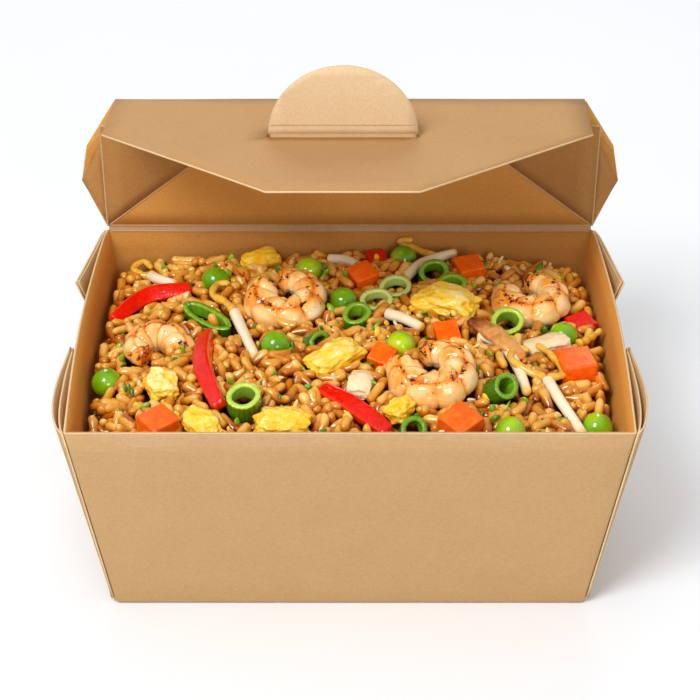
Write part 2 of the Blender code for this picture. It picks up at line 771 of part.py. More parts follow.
def make_food():
    """The heap, the toppings trimmed to it, and the grains between them."""
    rice = material("rice", (0.72, 0.46, 0.20), 0.4)
    heap = make_heap("fried_rice", rice)
    toppings = make_toppings()
    for topping in toppings:
        cutter = make_heap("trim", rice, TOPPING_LIFT)
        combine(topping, [cutter], "DIFFERENCE", smooth=True)
    fuse_grains(heap, toppings, rice)


def main():
    clear_scene()
    board = material("board", (0.60, 0.40, 0.22), 0.75)
    pale_board = material("pale_board", (0.72, 0.52, 0.32), 0.75)
    make_tray(board)
    panel = make_lid_panel(board)
    flap = make_flap(panel, board)
    make_tab(flap, pale_board)
    make_food()
    bpy.context.view_layer.update()


main()
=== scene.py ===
"""Open brown paperboard carton of prawn fried rice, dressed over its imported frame."""
import math
import random

import bmesh
import bpy
import numpy as np
from mathutils import Euler, Matrix, Vector, noise


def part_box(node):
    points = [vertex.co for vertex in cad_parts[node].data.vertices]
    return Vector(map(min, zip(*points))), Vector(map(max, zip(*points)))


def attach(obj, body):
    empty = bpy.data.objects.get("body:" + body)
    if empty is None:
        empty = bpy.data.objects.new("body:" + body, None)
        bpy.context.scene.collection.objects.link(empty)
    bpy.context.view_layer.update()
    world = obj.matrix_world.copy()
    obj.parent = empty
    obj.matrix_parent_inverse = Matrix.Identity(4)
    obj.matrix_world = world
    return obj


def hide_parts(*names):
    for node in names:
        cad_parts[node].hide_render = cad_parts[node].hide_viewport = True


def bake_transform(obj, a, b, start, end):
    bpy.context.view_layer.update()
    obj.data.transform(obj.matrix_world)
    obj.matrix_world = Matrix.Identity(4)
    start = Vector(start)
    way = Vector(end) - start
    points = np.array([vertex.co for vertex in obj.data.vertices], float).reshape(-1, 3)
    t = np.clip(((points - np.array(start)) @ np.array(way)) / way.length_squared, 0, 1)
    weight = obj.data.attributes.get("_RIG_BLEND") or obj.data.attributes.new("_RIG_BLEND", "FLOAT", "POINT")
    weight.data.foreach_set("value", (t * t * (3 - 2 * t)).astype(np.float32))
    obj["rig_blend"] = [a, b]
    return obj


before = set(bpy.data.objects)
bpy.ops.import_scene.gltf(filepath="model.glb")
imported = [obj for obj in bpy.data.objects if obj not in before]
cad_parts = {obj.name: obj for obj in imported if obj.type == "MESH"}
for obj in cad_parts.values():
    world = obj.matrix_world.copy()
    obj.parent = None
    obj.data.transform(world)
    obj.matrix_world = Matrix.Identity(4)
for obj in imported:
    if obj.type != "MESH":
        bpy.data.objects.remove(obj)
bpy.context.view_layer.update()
MM = 0.001


# Studio
# A plain white sweep under soft light: a key panel high on the left, a weak one low on the right
# and a wide one behind, in a pale room. The camera looks down on the carton from the front.
CAMERA_PITCH = math.radians(30.18)
CAMERA_REACH = 0.6562
CAMERA_AIM = Vector((0.0, 0.0, 0.0549))
CAMERA_LENS = 113.2
SENSOR_WIDTH = 36.0
LIGHT_AIM = Vector((0.0, 0.0, 0.05))
LIGHTS = (
    # name, place, side in metres, power in watts
    ("key", (-0.42, -0.66, 0.98), 0.46, 10.4),
    ("front", (0.34, -1.15, 0.50), 0.30, 2.6),
    ("backdrop", (0.0, 1.55, 0.95), 0.80, 10.0),
)
ROOM_STRENGTH = 0.58
FLOOR_SIZE = 4.0


def add_object(name, data):
    """An object for some data, linked into the scene."""
    item = bpy.data.objects.new(name, data)
    bpy.context.scene.collection.objects.link(item)
    return item


camera_data = bpy.data.cameras.new("camera")
camera_data.lens = CAMERA_LENS
camera_data.sensor_width = SENSOR_WIDTH
camera = add_object("camera", camera_data)
camera.location = CAMERA_AIM + CAMERA_REACH * Vector(
    (0.0, -math.cos(CAMERA_PITCH), math.sin(CAMERA_PITCH)))
camera.rotation_euler = (math.pi / 2 - CAMERA_PITCH, 0.0, 0.0)
bpy.context.scene.camera = camera
bpy.context.scene.view_settings.view_transform = "Standard"

for name, place, side, power in LIGHTS:
    light = bpy.data.lights.new(name, "AREA")
    light.shape = "RECTANGLE"
    light.size = side
    light.size_y = side
    light.energy = power
    lamp = add_object(name, light)
    lamp.location = place
    lamp.rotation_euler = (LIGHT_AIM - Vector(place)).to_track_quat("-Z", "Y").to_euler()


def node_tree(name):
    """A new material, its node tree and its Principled shader."""
    material = bpy.data.materials.new(name)
    material.use_nodes = True
    tree = material.node_tree
    return material, tree, tree.nodes["Principled BSDF"]


def put(tree, kind, **settings):
    """Add a shader node and set its sockets and options by name."""
    node = tree.nodes.new(kind)
    for key, value in settings.items():
        if key in node.inputs:
            node.inputs[key].default_value = value
        else:
            setattr(node, key, value)
    return node


def wire(tree, source, output, target, socket):
    """Join one node's output to another's socket, each by name or number."""
    tree.links.new(source.outputs[output], target.inputs[socket])


def adjust(shader, settings):
    """Set a node's sockets, such as a shader's roughness, by their names."""
    for socket, value in settings.items():
        shader.inputs[socket].default_value = value


def ramp(tree, stops):
    """A colour ramp from (position, colour) stops."""
    node = tree.nodes.new("ShaderNodeValToRGB")
    bar = node.color_ramp
    while len(bar.elements) < len(stops):
        bar.elements.new(0.5)
    for element, (position, colour) in zip(bar.elements, stops):
        element.position = position
        element.color = (*colour, 1.0) if len(colour) == 3 else colour
    return node


def blend_colours(tree, mode, factor, first, second):
    """Mix two colours, each given as a value or as a (node, output) pair."""
    node = tree.nodes.new("ShaderNodeMix")
    node.data_type = "RGBA"
    node.blend_type = mode
    for index, item in ((0, factor), (6, first), (7, second)):
        if isinstance(item, tuple) and isinstance(item[0], bpy.types.Node):
            wire(tree, *item, node, index)
        elif index == 0:
            node.inputs[index].default_value = item
        else:
            node.inputs[index].default_value = (*item, 1.0)
    return node


MIX_OUT = 2

room = bpy.data.worlds.new("room")
room.use_nodes = True
room_light = room.node_tree.nodes["Background"]
adjust(room_light, {"Color": (1.0, 1.0, 1.0, 1.0), "Strength": ROOM_STRENGTH})
bpy.context.scene.world = room

sweep_material, tree, shader = node_tree("studio_floor")
adjust(shader, {"Roughness": 0.9})
grain = put(tree, "ShaderNodeTexNoise", Scale=40.0)
tones = ramp(tree, ((0.3, (0.82, 0.84, 0.865)), (0.7, (0.84, 0.86, 0.885))))
wire(tree, grain, "Fac", tones, "Fac")
wire(tree, tones, "Color", shader, "Base Color")

floor_mesh = bmesh.new()
bmesh.ops.create_grid(floor_mesh, x_segments=1, y_segments=1, size=FLOOR_SIZE)
floor_data = bpy.data.meshes.new("floor")
floor_mesh.to_mesh(floor_data)
floor_mesh.free()
floor_data.materials.append(sweep_material)
floor = add_object("floor", floor_data)


# Paperboard
# Unbleached brown board, 0.6 mm thick. Short fibres lie flat in it, so it is mottled at the size
# of a millimetre and faintly rough; fold lines and cut edges show the paler core.
BOARD = 0.6 * MM
FIBRE_RELIEF = 0.12 * MM
CLOUD_SHARE = 0.30
SMOOTH_BELOW = math.radians(38)
CUT_EDGE = 1


def mottling(tree, place, **settings):
    """A noise texture that lies in the piece's own coordinates."""
    node = put(tree, "ShaderNodeTexNoise", **settings)
    wire(tree, place, "Object", node, "Vector")
    return node


def roughen(tree, shader, source, output, strength, depth):
    """Raise and sink the surface by a texture."""
    relief = put(tree, "ShaderNodeBump", Strength=strength, Distance=depth)
    wire(tree, source, output, relief, "Height")
    wire(tree, relief, "Normal", shader, "Normal")


def paperboard(name, dark, light):
    """Board between a dark and a light brown: long fibres, broad clouds and dark flecks."""
    material, tree, shader = node_tree(name)
    place = put(tree, "ShaderNodeTexCoord")
    stretch = put(tree, "ShaderNodeMapping", Scale=(0.7, 1.0, 1.0))
    wire(tree, place, "Object", stretch, "Vector")
    fibre = put(tree, "ShaderNodeTexNoise", Scale=1500.0, Detail=4.0, Roughness=0.7)
    wire(tree, stretch, "Vector", fibre, "Vector")
    cloud = mottling(tree, place, Scale=75.0, Detail=4.0, Roughness=0.6)
    both = put(tree, "ShaderNodeMath", operation="MULTIPLY_ADD")
    both.inputs[1].default_value = CLOUD_SHARE
    wire(tree, cloud, "Fac", both, 0)
    wire(tree, fibre, "Fac", both, 2)
    tones = ramp(tree, ((0.38, dark), (0.92, light)))
    wire(tree, both, "Value", tones, "Fac")
    fleck = mottling(tree, place, Scale=2600.0, Detail=1.0)
    fleck_tones = ramp(tree, ((0.66, (1.0, 1.0, 1.0)), (0.76, (0.84, 0.80, 0.76))))
    wire(tree, fleck, "Fac", fleck_tones, "Fac")
    colour = blend_colours(tree, "MULTIPLY", 1.0, (tones, 0), (fleck_tones, 0))
    wire(tree, colour, MIX_OUT, shader, "Base Color")
    adjust(shader, {"Roughness": 0.82, "Specular IOR Level": 0.25})
    roughen(tree, shader, both, "Value", 0.25, FIBRE_RELIEF)
    return material


board_out = paperboard("board_outside", (0.45, 0.262, 0.112), (0.54, 0.33, 0.15))
# The inside board is a darker, more orange copy of the outside board: painted shade and bounce light inside
# the carton, on the flap's underside and in the ear linings.
board_in_shaded = paperboard("board_inside_painted_shade", (0.44, 0.185, 0.034), (0.55, 0.245, 0.050))
# The side walls' inside is a lighter copy of the inside board: painted light on the side walls.
board_side_lit = paperboard("board_side_inside_painted_light", (0.62, 0.255, 0.042), (0.76, 0.335, 0.060))
# The lid panel's inside face is a lighter copy of the inside board: painted light under the flap.
board_lid_lit = paperboard("board_lid_inside_painted_light", (0.56, 0.25, 0.050), (0.69, 0.33, 0.072))
# The lid's webs and ears are a darker copy of the board: painted shade under the flap.
board_web_shaded = paperboard("board_web_shaded", (0.36, 0.162, 0.042), (0.45, 0.215, 0.062))
board_edge = paperboard("board_cut_edge", (0.66, 0.44, 0.22), (0.80, 0.58, 0.34))
board_fold = paperboard("board_fold", (0.475, 0.288, 0.140), (0.58, 0.372, 0.203))
# The tab is a lighter copy of the board: painted light on its face.
lit_tab_board = paperboard("board_tab_painted_light", (0.645, 0.455, 0.257), (0.77, 0.57, 0.342))
# The flap's top is a darker copy of the outside board: painted shade.
board_flap_shaded = paperboard("board_flap_outside_painted_shade", (0.425, 0.230, 0.088), (0.510, 0.289, 0.118))


def finish_piece(name, mesh, materials, body, replaces=()):
    """Turn a bmesh into a named piece. With no body it is left to be blended between two."""
    data = bpy.data.meshes.new(name)
    mesh.to_mesh(data)
    mesh.free()
    for material in materials:
        data.materials.append(material)
    data.shade_smooth()
    data.set_sharp_from_angle(angle=SMOOTH_BELOW)
    piece = add_object(name, data)
    if replaces:
        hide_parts(*replaces)
    if body:
        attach(piece, body)
    return piece


def thicken(piece, thickness=BOARD, offset=0.0):
    """Give a sheet of board its thickness, with the cut edge in its own material."""
    wall = piece.modifiers.new("board", "SOLIDIFY")
    wall.thickness = thickness
    wall.offset = offset
    wall.use_even_offset = True
    wall.material_offset_rim = CUT_EDGE
    return wall


def cut_up(mesh, axis, places):
    """Cut a sheet along planes across one axis, so that it can bend."""
    normal = Vector((0.0, 0.0, 0.0))
    normal[axis] = 1.0
    for place in places:
        everything = mesh.verts[:] + mesh.edges[:] + mesh.faces[:]
        bmesh.ops.bisect_plane(mesh, geom=everything, plane_co=normal * place, plane_no=normal,
                               dist=1e-7)


def span(low, high, count):
    """Evenly spaced places strictly between two ends."""
    return [low + (high - low) * (i + 1) / (count + 1) for i in range(count)]


def round_edges(mesh, edges, radius, segments):
    bmesh.ops.bevel(mesh, geom=edges, offset=radius, offset_type="OFFSET", segments=segments,
                    affect="EDGES", profile=0.5, material=-1)


# Tray
# The tapered tray is folded from one sheet: base, front, rear and two sides, with soft creases.
# The side walls bow out a little at the rim, and the rear rim ends in the lid's crease.
RIM_HALF_X, RIM_HALF_Y = 78.0 * MM, 62.0 * MM
BASE_HALF_X, BASE_HALF_Y = 68.0 * MM, 52.0 * MM
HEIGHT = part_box("tray")[1][2]
SIDE_BOW = 2.0 * MM
CREASE_ROUND = 1.1 * MM
REAR_RIM = HEIGHT - 0.95 * MM
REAR_CORNER_EASE = 7.5 * MM
ON_WALL = 0.4 * MM


def clamp(value):
    """The value, kept between 0 and 1."""
    return max(0.0, min(1.0, value))


def ripple(x, y, z):
    """Smooth noise at a point, about -1 to 1."""
    return noise.noise(Vector((x, y, z)))


def half_width(z):
    return BASE_HALF_X + (RIM_HALF_X - BASE_HALF_X) * z / HEIGHT


def half_depth(z):
    return BASE_HALF_Y + (RIM_HALF_Y - BASE_HALF_Y) * z / HEIGHT


def side_bow(y, z):
    share = max(0.0, 1.0 - abs(y) / half_depth(z))
    return SIDE_BOW * z / HEIGHT * math.sin(math.pi / 2 * share)


def rim_height(y):
    """The rim drops a little over the last few millimetres before the lid's crease."""
    near = (y - (RIM_HALF_Y - REAR_CORNER_EASE)) / REAR_CORNER_EASE
    return HEIGHT - (HEIGHT - REAR_RIM) * clamp(near)


shell = bmesh.new()
bmesh.ops.create_cube(shell, size=2.0)
for vert in shell.verts:
    z = HEIGHT if vert.co.z > 0 else 0.0
    vert.co = Vector((vert.co.x * half_width(z), vert.co.y * half_depth(z), z))
lid_face = [face for face in shell.faces if face.normal.z > 0.9]
bmesh.ops.delete(shell, geom=lid_face, context="FACES_ONLY")
folds = [edge for edge in shell.edges if len(edge.link_faces) == 2]
round_edges(shell, folds, CREASE_ROUND, 3)
cut_up(shell, 2, span(0.0, HEIGHT, 8))
cut_up(shell, 0, span(-RIM_HALF_X, RIM_HALF_X, 15))
cut_up(shell, 1, span(-RIM_HALF_Y, RIM_HALF_Y, 13))
for vert in shell.verts:
    point = vert.co
    x, y, z = point
    if abs(x) > half_width(z) - ON_WALL:
        point.x = math.copysign(abs(x) + side_bow(y, z), x)
    elif abs(y) > half_depth(z) - ON_WALL and z > 2 * MM:
        dent = ripple(x * 22.0, y * 5.0, z * 18.0)
        ease = math.sin(math.pi * min(1.0, (1.0 - abs(x) / half_width(z)) * 2.5) / 2)
        point.y -= math.copysign((0.10 + 0.22 * dent) * MM * ease * min(1.0, z / HEIGHT * 3), y)
    if y > 0.0 and z > rim_height(y):
        point.z = rim_height(y)
bmesh.ops.recalc_face_normals(shell, faces=shell.faces)
# Side-wall faces take index 3, so their inside gets the lighter board copy: painted light. The other walls'
# inside gets the darker inside board: painted shade.
for face in shell.faces:
    face.material_index = 3 if abs(face.normal.x) > 0.7 else 0
tray = finish_piece("carton_tray", shell,
                    (board_out, board_edge, board_in_shaded, board_out, board_edge, board_side_lit), "tray",
                    replaces=("tray",))
thicken(tray, offset=-1.0).material_offset = 2


# Front hem
# The front wall's top edge is folded in and down, so the front rim is a thick, pale, rounded
# fold instead of a cut edge.
HEM_THICKNESS = 1.8 * MM
HEM_DEPTH = 9.0 * MM
HEM_ROUND = 0.7 * MM
HEM_END_GAP = 1.3 * MM

hem = bmesh.new()
bmesh.ops.create_cube(hem, size=1.0)
for vert in hem.verts:
    low = vert.co.z < 0
    z = HEIGHT - (HEM_DEPTH if low else 0.0)
    outer_y = -half_depth(z) + (0.35 * MM if low else 0.02 * MM)
    inner_y = -half_depth(z) + HEM_THICKNESS
    half = half_width(z) - HEM_END_GAP
    vert.co = Vector((math.copysign(half, vert.co.x), outer_y if vert.co.y < 0 else inner_y, z))
top_edges = [e for e in hem.edges if all(v.co.z > HEIGHT - MM for v in e.verts)
             and abs(e.verts[0].co.x - e.verts[1].co.x) > 0.05]
round_edges(hem, top_edges, HEM_ROUND, 4)
cut_up(hem, 0, span(-RIM_HALF_X, RIM_HALF_X, 15))
for vert in hem.verts:
    dent = ripple(vert.co.x * 40.0, 3.0, 0.0)
    vert.co.y += 0.12 * MM * dent
    vert.co.z -= 0.05 * MM * (1.0 + dent)
finish_piece("front_hem", hem, (board_fold,), "tray")


# Folded corners
# At each corner a web of board is folded back outside the side wall in two leaves. The front
# ones swell like pockets, and the rear ones stand off the wall at their free end.
EARS = (
    # end, length, swell of the outer leaf, swell of the inner leaf, flare
    (-1, 48.0 * MM, 3.3 * MM, 1.5 * MM, 0.35 * MM),
    (1, 36.0 * MM, 0.5 * MM, 0.0, 3.3 * MM),
)
EAR_THICKNESS = 0.5 * MM
LEAF_GAP = 0.75 * MM
INNER_LEAF_SHARE = 0.985
EAR_FOOT = 0.03
EAR_SETBACK = 0.5 * MM
EAR_WAVE = 0.15 * MM
EAR_DROP = 0.5 * MM


def ear_leaf(name, side, end, length, swell, flare, lift):
    """One triangular leaf from the corner to the diagonal fold, standing off the side wall."""
    mesh = bmesh.new()
    bmesh.ops.create_grid(mesh, x_segments=16, y_segments=12, size=1.0)
    for vert in mesh.verts:
        along = (vert.co.x + 1.0) / 2.0
        level = EAR_FOOT + (1.0 - EAR_FOOT) * (vert.co.y + 1.0) / 2.0
        z = HEIGHT * level - 0.25 * MM
        y = end * (half_depth(z) - EAR_SETBACK - along * length * level)
        stand = swell * math.sin(math.pi * along ** 0.66) + flare * along ** 1.5
        stand += EAR_WAVE * ripple(y * 90.0, z * 60.0, side + lift * 900.0)
        x = half_width(z) + side_bow(y, z) + BOARD * 0.55 + lift * along + stand * level
        z -= EAR_DROP * along * level
        vert.co = Vector((side * x, y, min(z, rim_height(y) - 0.1 * MM)))
    bmesh.ops.recalc_face_normals(mesh, faces=mesh.faces)
    piece = finish_piece(name, mesh, (board_out, board_edge), "tray")
    thicken(piece, EAR_THICKNESS)


for side, hand in ((-1, "left"), (1, "right")):
    for end, length, swell_out, swell_in, flare in EARS:
        where = "front" if end < 0 else "rear"
        ear_leaf(f"{where}_ear_outer_{hand}", side, end, length, swell_out, flare, LEAF_GAP)
        ear_leaf(f"{where}_ear_inner_{hand}", side, end, length * INNER_LEAF_SHARE, swell_in,
                 flare, 0.0)


# Lid panel
# The rear wall runs on past the crease as the lid panel. At each side a web is folded in front
# of it along a slanting crease, and its outer corner sticks out as a double-leaved ear.
HINGE_Y = 61.7 * MM
PANEL_HEIGHT = 44.5 * MM
PANEL_TOP_HALF_X = 73.3 * MM
CREASE_GAP = 0.7 * MM
EAR_LOW = (84.68 * MM, 17.1 * MM)
EAR_HIGH = (82.6 * MM, 28.7 * MM)
WEB_TOP = (77.5 * MM, 37.4 * MM)
WEB_FOOT = (27.0 * MM, 40.0 * MM)
WEB_REACH = 4.5 * MM
WEB_MOUTH = (77.9 * MM, 31.0 * MM)
LEAF_THICKNESS = 0.5 * MM
CREASE_RADIUS = 0.34 * MM
EDGE_RADIUS = 0.33 * MM


def flat_sheet(points):
    """A polygon of board from its corners."""
    mesh = bmesh.new()
    mesh.faces.new([mesh.verts.new(point) for point in points])
    return mesh


def lid_point(x, up, forward):
    """A place on the lid panel: out from the middle, up from the rim, towards the front."""
    return Vector((x, HINGE_Y - forward, HEIGHT + up))


def face_towards(mesh, way):
    """Turn all the faces of an open sheet to one side, its outside."""
    bmesh.ops.recalc_face_normals(mesh, faces=mesh.faces)
    mesh.normal_update()
    if sum((face.normal.dot(way) * face.calc_area() for face in mesh.faces), 0.0) < 0.0:
        bmesh.ops.reverse_faces(mesh, faces=mesh.faces)


def warp(mesh, size, scale=30.0, seed=0.0):
    """A faint uneven warp, as board has after folding."""
    for vert in mesh.verts:
        lift = noise.noise(vert.co * scale + Vector((seed, seed, seed)))
        vert.co.y += size * lift


top = PANEL_HEIGHT - CREASE_GAP
outline = [(RIM_HALF_X - 0.4 * MM, CREASE_GAP), EAR_LOW, EAR_HIGH, (PANEL_TOP_HALF_X, top)]
outline += [(-x, z) for x, z in reversed(outline)]
panel = flat_sheet([lid_point(x, z, 0.12 * MM) for x, z in outline])
cut_up(panel, 0, span(-85 * MM, 85 * MM, 20))
cut_up(panel, 2, span(HEIGHT, HEIGHT + PANEL_HEIGHT, 6))
warp(panel, 0.10 * MM)
face_towards(panel, Vector((0.0, 1.0, 0.0)))
# The front face of the lid panel takes the lighter board copy: painted light.
lid_panel = finish_piece("lid_back_panel", panel, (board_out, board_edge, board_lid_lit), "lid",
                         replaces=("lid_panel",))
thicken(lid_panel).material_offset = 2

WEB_SHAPE = (
    # each corner: out from the middle, up from the rim, forward from the panel
    (RIM_HALF_X - 0.5 * MM, CREASE_GAP, 0.35 * MM),
    (*WEB_TOP, WEB_REACH),
    (*WEB_FOOT, 0.35 * MM),
)
EAR_SHAPE = (
    (RIM_HALF_X - 0.6 * MM, CREASE_GAP + 1.4 * MM, 0.4 * MM),
    (*EAR_LOW, 0.55 * MM),
    (*WEB_MOUTH, WEB_REACH * WEB_MOUTH[1] / WEB_TOP[1]),
)
LINING_SHAPE = (
    (RIM_HALF_X - 0.2 * MM, CREASE_GAP + 2 * MM, 0.5 * MM),
    (EAR_LOW[0] - 0.4 * MM, EAR_LOW[1] + 0.6 * MM, 0.75 * MM),
    (EAR_HIGH[0] - 0.5 * MM, EAR_HIGH[1] - 0.5 * MM, 1.5 * MM),
    (WEB_MOUTH[0] - 1.0 * MM, WEB_MOUTH[1] + 4 * MM, 1.9 * MM),
)
LID_LEAVES = (
    # name, corners, cuts along each edge, board, thickness, warp
    # The webs and ears take the darker board copy: painted shade.
    ("lid_web", WEB_SHAPE, 7, board_web_shaded, LEAF_THICKNESS, 0.12 * MM),
    ("lid_ear", EAR_SHAPE, 4, board_web_shaded, LEAF_THICKNESS, 0.0),
    ("lid_ear_lining", LINING_SHAPE, 3, board_in_shaded, 0.45 * MM, 0.0),
)
for side, hand in ((-1, "left"), (1, "right")):
    for name, shape, cuts, board, thickness, uneven in LID_LEAVES:
        leaf = flat_sheet([lid_point(side * x, up, forward) for x, up, forward in shape])
        bmesh.ops.subdivide_edges(leaf, edges=leaf.edges[:], cuts=cuts, use_grid_fill=True)
        warp(leaf, uneven, 25.0, side * 3.0)
        piece = finish_piece(f"{name}_{hand}", leaf, (board, board_edge), "lid")
        thicken(piece, thickness)


def bead(name, start, finish, radius, body, material=board_fold):
    """The raised line of a crease: a thin rounded ridge along it."""
    mesh = bmesh.new()
    run = finish - start
    turn = run.to_track_quat("Z", "Y").to_matrix().to_4x4()
    middle = Matrix.Translation((start + finish) / 2)
    bmesh.ops.create_cone(mesh, cap_ends=True, segments=8, radius1=radius, radius2=radius,
                          depth=run.length, matrix=middle @ turn)
    finish_piece(name, mesh, (material,), body)


for side, hand in ((-1, "left"), (1, "right")):
    bead(f"web_crease_{hand}", lid_point(side * (RIM_HALF_X - 1.2 * MM), 1.2 * MM, 0.42 * MM),
         lid_point(side * WEB_FOOT[0], WEB_FOOT[1], 0.42 * MM), CREASE_RADIUS, "lid")
    bead(f"web_edge_{hand}", lid_point(side * (RIM_HALF_X - 0.6 * MM), 1.0 * MM, 0.55 * MM),
         lid_point(side * WEB_TOP[0], WEB_TOP[1] - 0.3 * MM, WEB_REACH - 0.05 * MM),
         EDGE_RADIUS, "lid")


# Lid crease
# The lid is one sheet with the tray, and the board bends here. Two lines scored before folding
# show as pale ridges along the rear rim.
STRIP_THICKNESS = BOARD * 0.96
LINE_RADIUS = 0.28 * MM
LINE_HALF = RIM_HALF_X - 1.5 * MM


def crease_strip(name, half, low, high, bodies, start, end, material=board_fold):
    """A strip of bent board across a joint, from low to high, in the joint's two panels."""
    mesh = bmesh.new()
    bmesh.ops.create_grid(mesh, x_segments=24, y_segments=6, size=1.0)
    for vert in mesh.verts:
        share = (vert.co.y + 1.0) / 2.0
        point = low.lerp(high, share)
        vert.co = Vector((point.x + vert.co.x * half, point.y, point.z))
    bmesh.ops.recalc_face_normals(mesh, faces=mesh.faces)
    piece = finish_piece(name, mesh, (material, material), None)
    thicken(piece, STRIP_THICKNESS)
    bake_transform(piece, *bodies, start=start, end=end)


crease_strip("lid_crease", RIM_HALF_X - 0.9 * MM, Vector((0.0, HINGE_Y, REAR_RIM - 0.6 * MM)),
             Vector((0.0, HINGE_Y, HEIGHT + 1.2 * MM)), ("tray", "lid"),
             (0.0, HINGE_Y, HEIGHT - 0.5 * MM), (0.0, HINGE_Y, HEIGHT + 0.5 * MM))
for name, up, body in (("low", REAR_RIM - 0.2 * MM - HEIGHT, "tray"), ("high", 0.9 * MM, "lid")):
    bead(f"crease_line_{name}", lid_point(-LINE_HALF, up, 0.35 * MM),
         lid_point(LINE_HALF, up, 0.35 * MM), LINE_RADIUS, body)


# Front flap
# From the lid panel's top fold the flap reaches forward, nearly level. It is cut to a blunt
# nose, and a half-round opening is left where the lock tab has been pushed up.
FLAP_RISE = math.radians(5.0)
FLAP_LENGTH = 80.0 * MM
FLAP_HALF_X = 73.0 * MM
FLAP_SHOULDER = 32.0 * MM
FLAP_NOSE_HALF_X = 21.5 * MM
TAB_FOLD = 34.8 * MM
TAB_RADIUS = 22.2 * MM
SLOT_RADIUS = 22.9 * MM
SLOT_GAP = 1.0 * MM
FLAP_SKEW = -2.0 * MM
FLAP_SAG = 0.9 * MM
ARC_STEPS = 40
TOP_FOLD = Vector((0.0, HINGE_Y, HEIGHT + PANEL_HEIGHT))
FLAP_RUN = Vector((0.0, -math.cos(FLAP_RISE), math.sin(FLAP_RISE)))
FLAP_UP = Vector((0.0, math.sin(FLAP_RISE), math.cos(FLAP_RISE)))


def flap_point(x, run, up=0.0):
    """A place on the flap: out from the middle, forward from its fold, up from its face."""
    return TOP_FOLD + Vector((x, 0.0, 0.0)) + FLAP_RUN * run + FLAP_UP * up


half_outline = [(PANEL_TOP_HALF_X - BOARD, CREASE_GAP), (FLAP_HALF_X, FLAP_SHOULDER),
                (FLAP_NOSE_HALF_X, FLAP_LENGTH)]
outline = half_outline + [(-x, run) for x, run in reversed(half_outline)]
outline = [(x + FLAP_SKEW * run / FLAP_LENGTH, run) for x, run in outline]
flap = bmesh.new()
rim_loops = []
corners = [flap.verts.new((x, run, 0.0)) for x, run in outline]
rim_loops += [flap.edges.new((a, b)) for a, b in zip(corners, corners[1:] + corners[:1])]
arc = []
for step in range(ARC_STEPS + 1):
    angle = math.pi * step / ARC_STEPS
    arc.append((FLAP_SKEW + SLOT_RADIUS * math.cos(angle),
                TAB_FOLD - SLOT_RADIUS * math.sin(angle)))
arc += [(FLAP_SKEW + end * SLOT_RADIUS, TAB_FOLD + SLOT_GAP) for end in (-1, 1)]
ring = [flap.verts.new((x, run, 0.0)) for x, run in arc]
rim_loops += [flap.edges.new((a, b)) for a, b in zip(ring, ring[1:] + ring[:1])]
bmesh.ops.triangle_fill(flap, use_beauty=True, use_dissolve=True, edges=rim_loops)
cut_up(flap, 0, span(-FLAP_HALF_X, FLAP_HALF_X, 17))
cut_up(flap, 1, span(0.0, FLAP_LENGTH, 9))
for vert in flap.verts:
    x, run, _ = vert.co
    lift = 0.22 * MM * ripple(x * 26.0, run * 26.0, 5.0)
    lift -= FLAP_SAG * (abs(x) / FLAP_HALF_X) ** 3 * (run / FLAP_LENGTH)
    vert.co = flap_point(x, run, lift)
face_towards(flap, FLAP_UP)
# The flap's top takes the darker board copy: painted shade.
front_flap = finish_piece("front_flap_board", flap, (board_flap_shaded, board_edge, board_in_shaded), "flap",
                          replaces=("front_flap",))
thicken(front_flap).material_offset = 2

crease_strip("flap_crease", PANEL_TOP_HALF_X - 0.8 * MM, lid_point(0.0, top - 0.5 * MM, 0.0),
             flap_point(0.0, 1.2 * MM), ("lid", "flap"),
             tuple(lid_point(0.0, PANEL_HEIGHT - 0.4 * MM, 0.0)), tuple(flap_point(0.0, 0.4 * MM)),
             board_out)


# Lock tab
# The half-round tab is cut from the flap and stands up from a short crease. A second, fainter
# crease runs just above its foot.
SCORE_HEIGHT = 4.0 * MM
SCORE_RADIUS = 0.14 * MM


def tab_point(x, up, forward=0.0):
    foot = flap_point(0.0, TAB_FOLD)
    return Vector((FLAP_SKEW + x, foot.y - forward, foot.z + up))


tab = bmesh.new()
corners = []
for step in range(ARC_STEPS + 1):
    angle = math.pi * step / ARC_STEPS
    corners.append(tab.verts.new(
        (TAB_RADIUS * math.cos(angle), 0.0, CREASE_GAP + 0.995 * TAB_RADIUS * math.sin(angle))))
tab.faces.new(corners)
cut_up(tab, 0, span(-TAB_RADIUS, TAB_RADIUS, 9))
cut_up(tab, 2, span(0.0, TAB_RADIUS, 7))
for vert in tab.verts:
    x, _, up = vert.co
    bend = 0.25 * MM * ripple(x * 60.0, up * 60.0, 9.0) * up / TAB_RADIUS
    vert.co = tab_point(x, up, bend)
bmesh.ops.recalc_face_normals(tab, faces=tab.faces)
# The tab takes the lighter board copy: painted light.
lock_tab = finish_piece("half_round_tab", tab, (lit_tab_board, board_edge), "tab",
                        replaces=("lock_tab",))
thicken(lock_tab)
crease_strip("tab_crease", TAB_RADIUS - 0.6 * MM, flap_point(FLAP_SKEW, TAB_FOLD + 1.1 * MM),
             tab_point(0.0, 1.1 * MM), ("flap", "tab"),
             tuple(flap_point(FLAP_SKEW, TAB_FOLD + 0.5 * MM)), tuple(tab_point(0.0, 0.5 * MM)),
             board_out)
bead("tab_score", tab_point(-TAB_RADIUS * 0.96, SCORE_HEIGHT, 0.28 * MM),
     tab_point(TAB_RADIUS * 0.96, SCORE_HEIGHT, 0.28 * MM), SCORE_RADIUS, "tab", board_out)


# Rice bed
# Under the loose grains lies the imported rice, which fills the tray from its base. It is moist, and its
# dark colour is painted shade between the grains.
CREST_DEPTH = 8.0 * MM
EDGE_FALL = 7.0 * MM
REAR_FALL_SHARE = 0.45
CORNER_EASE = 0.45
BED_DROP = 4.6 * MM
BED_INSET = BOARD + 0.5 * MM
FOOT_INSET = 2.4 * MM


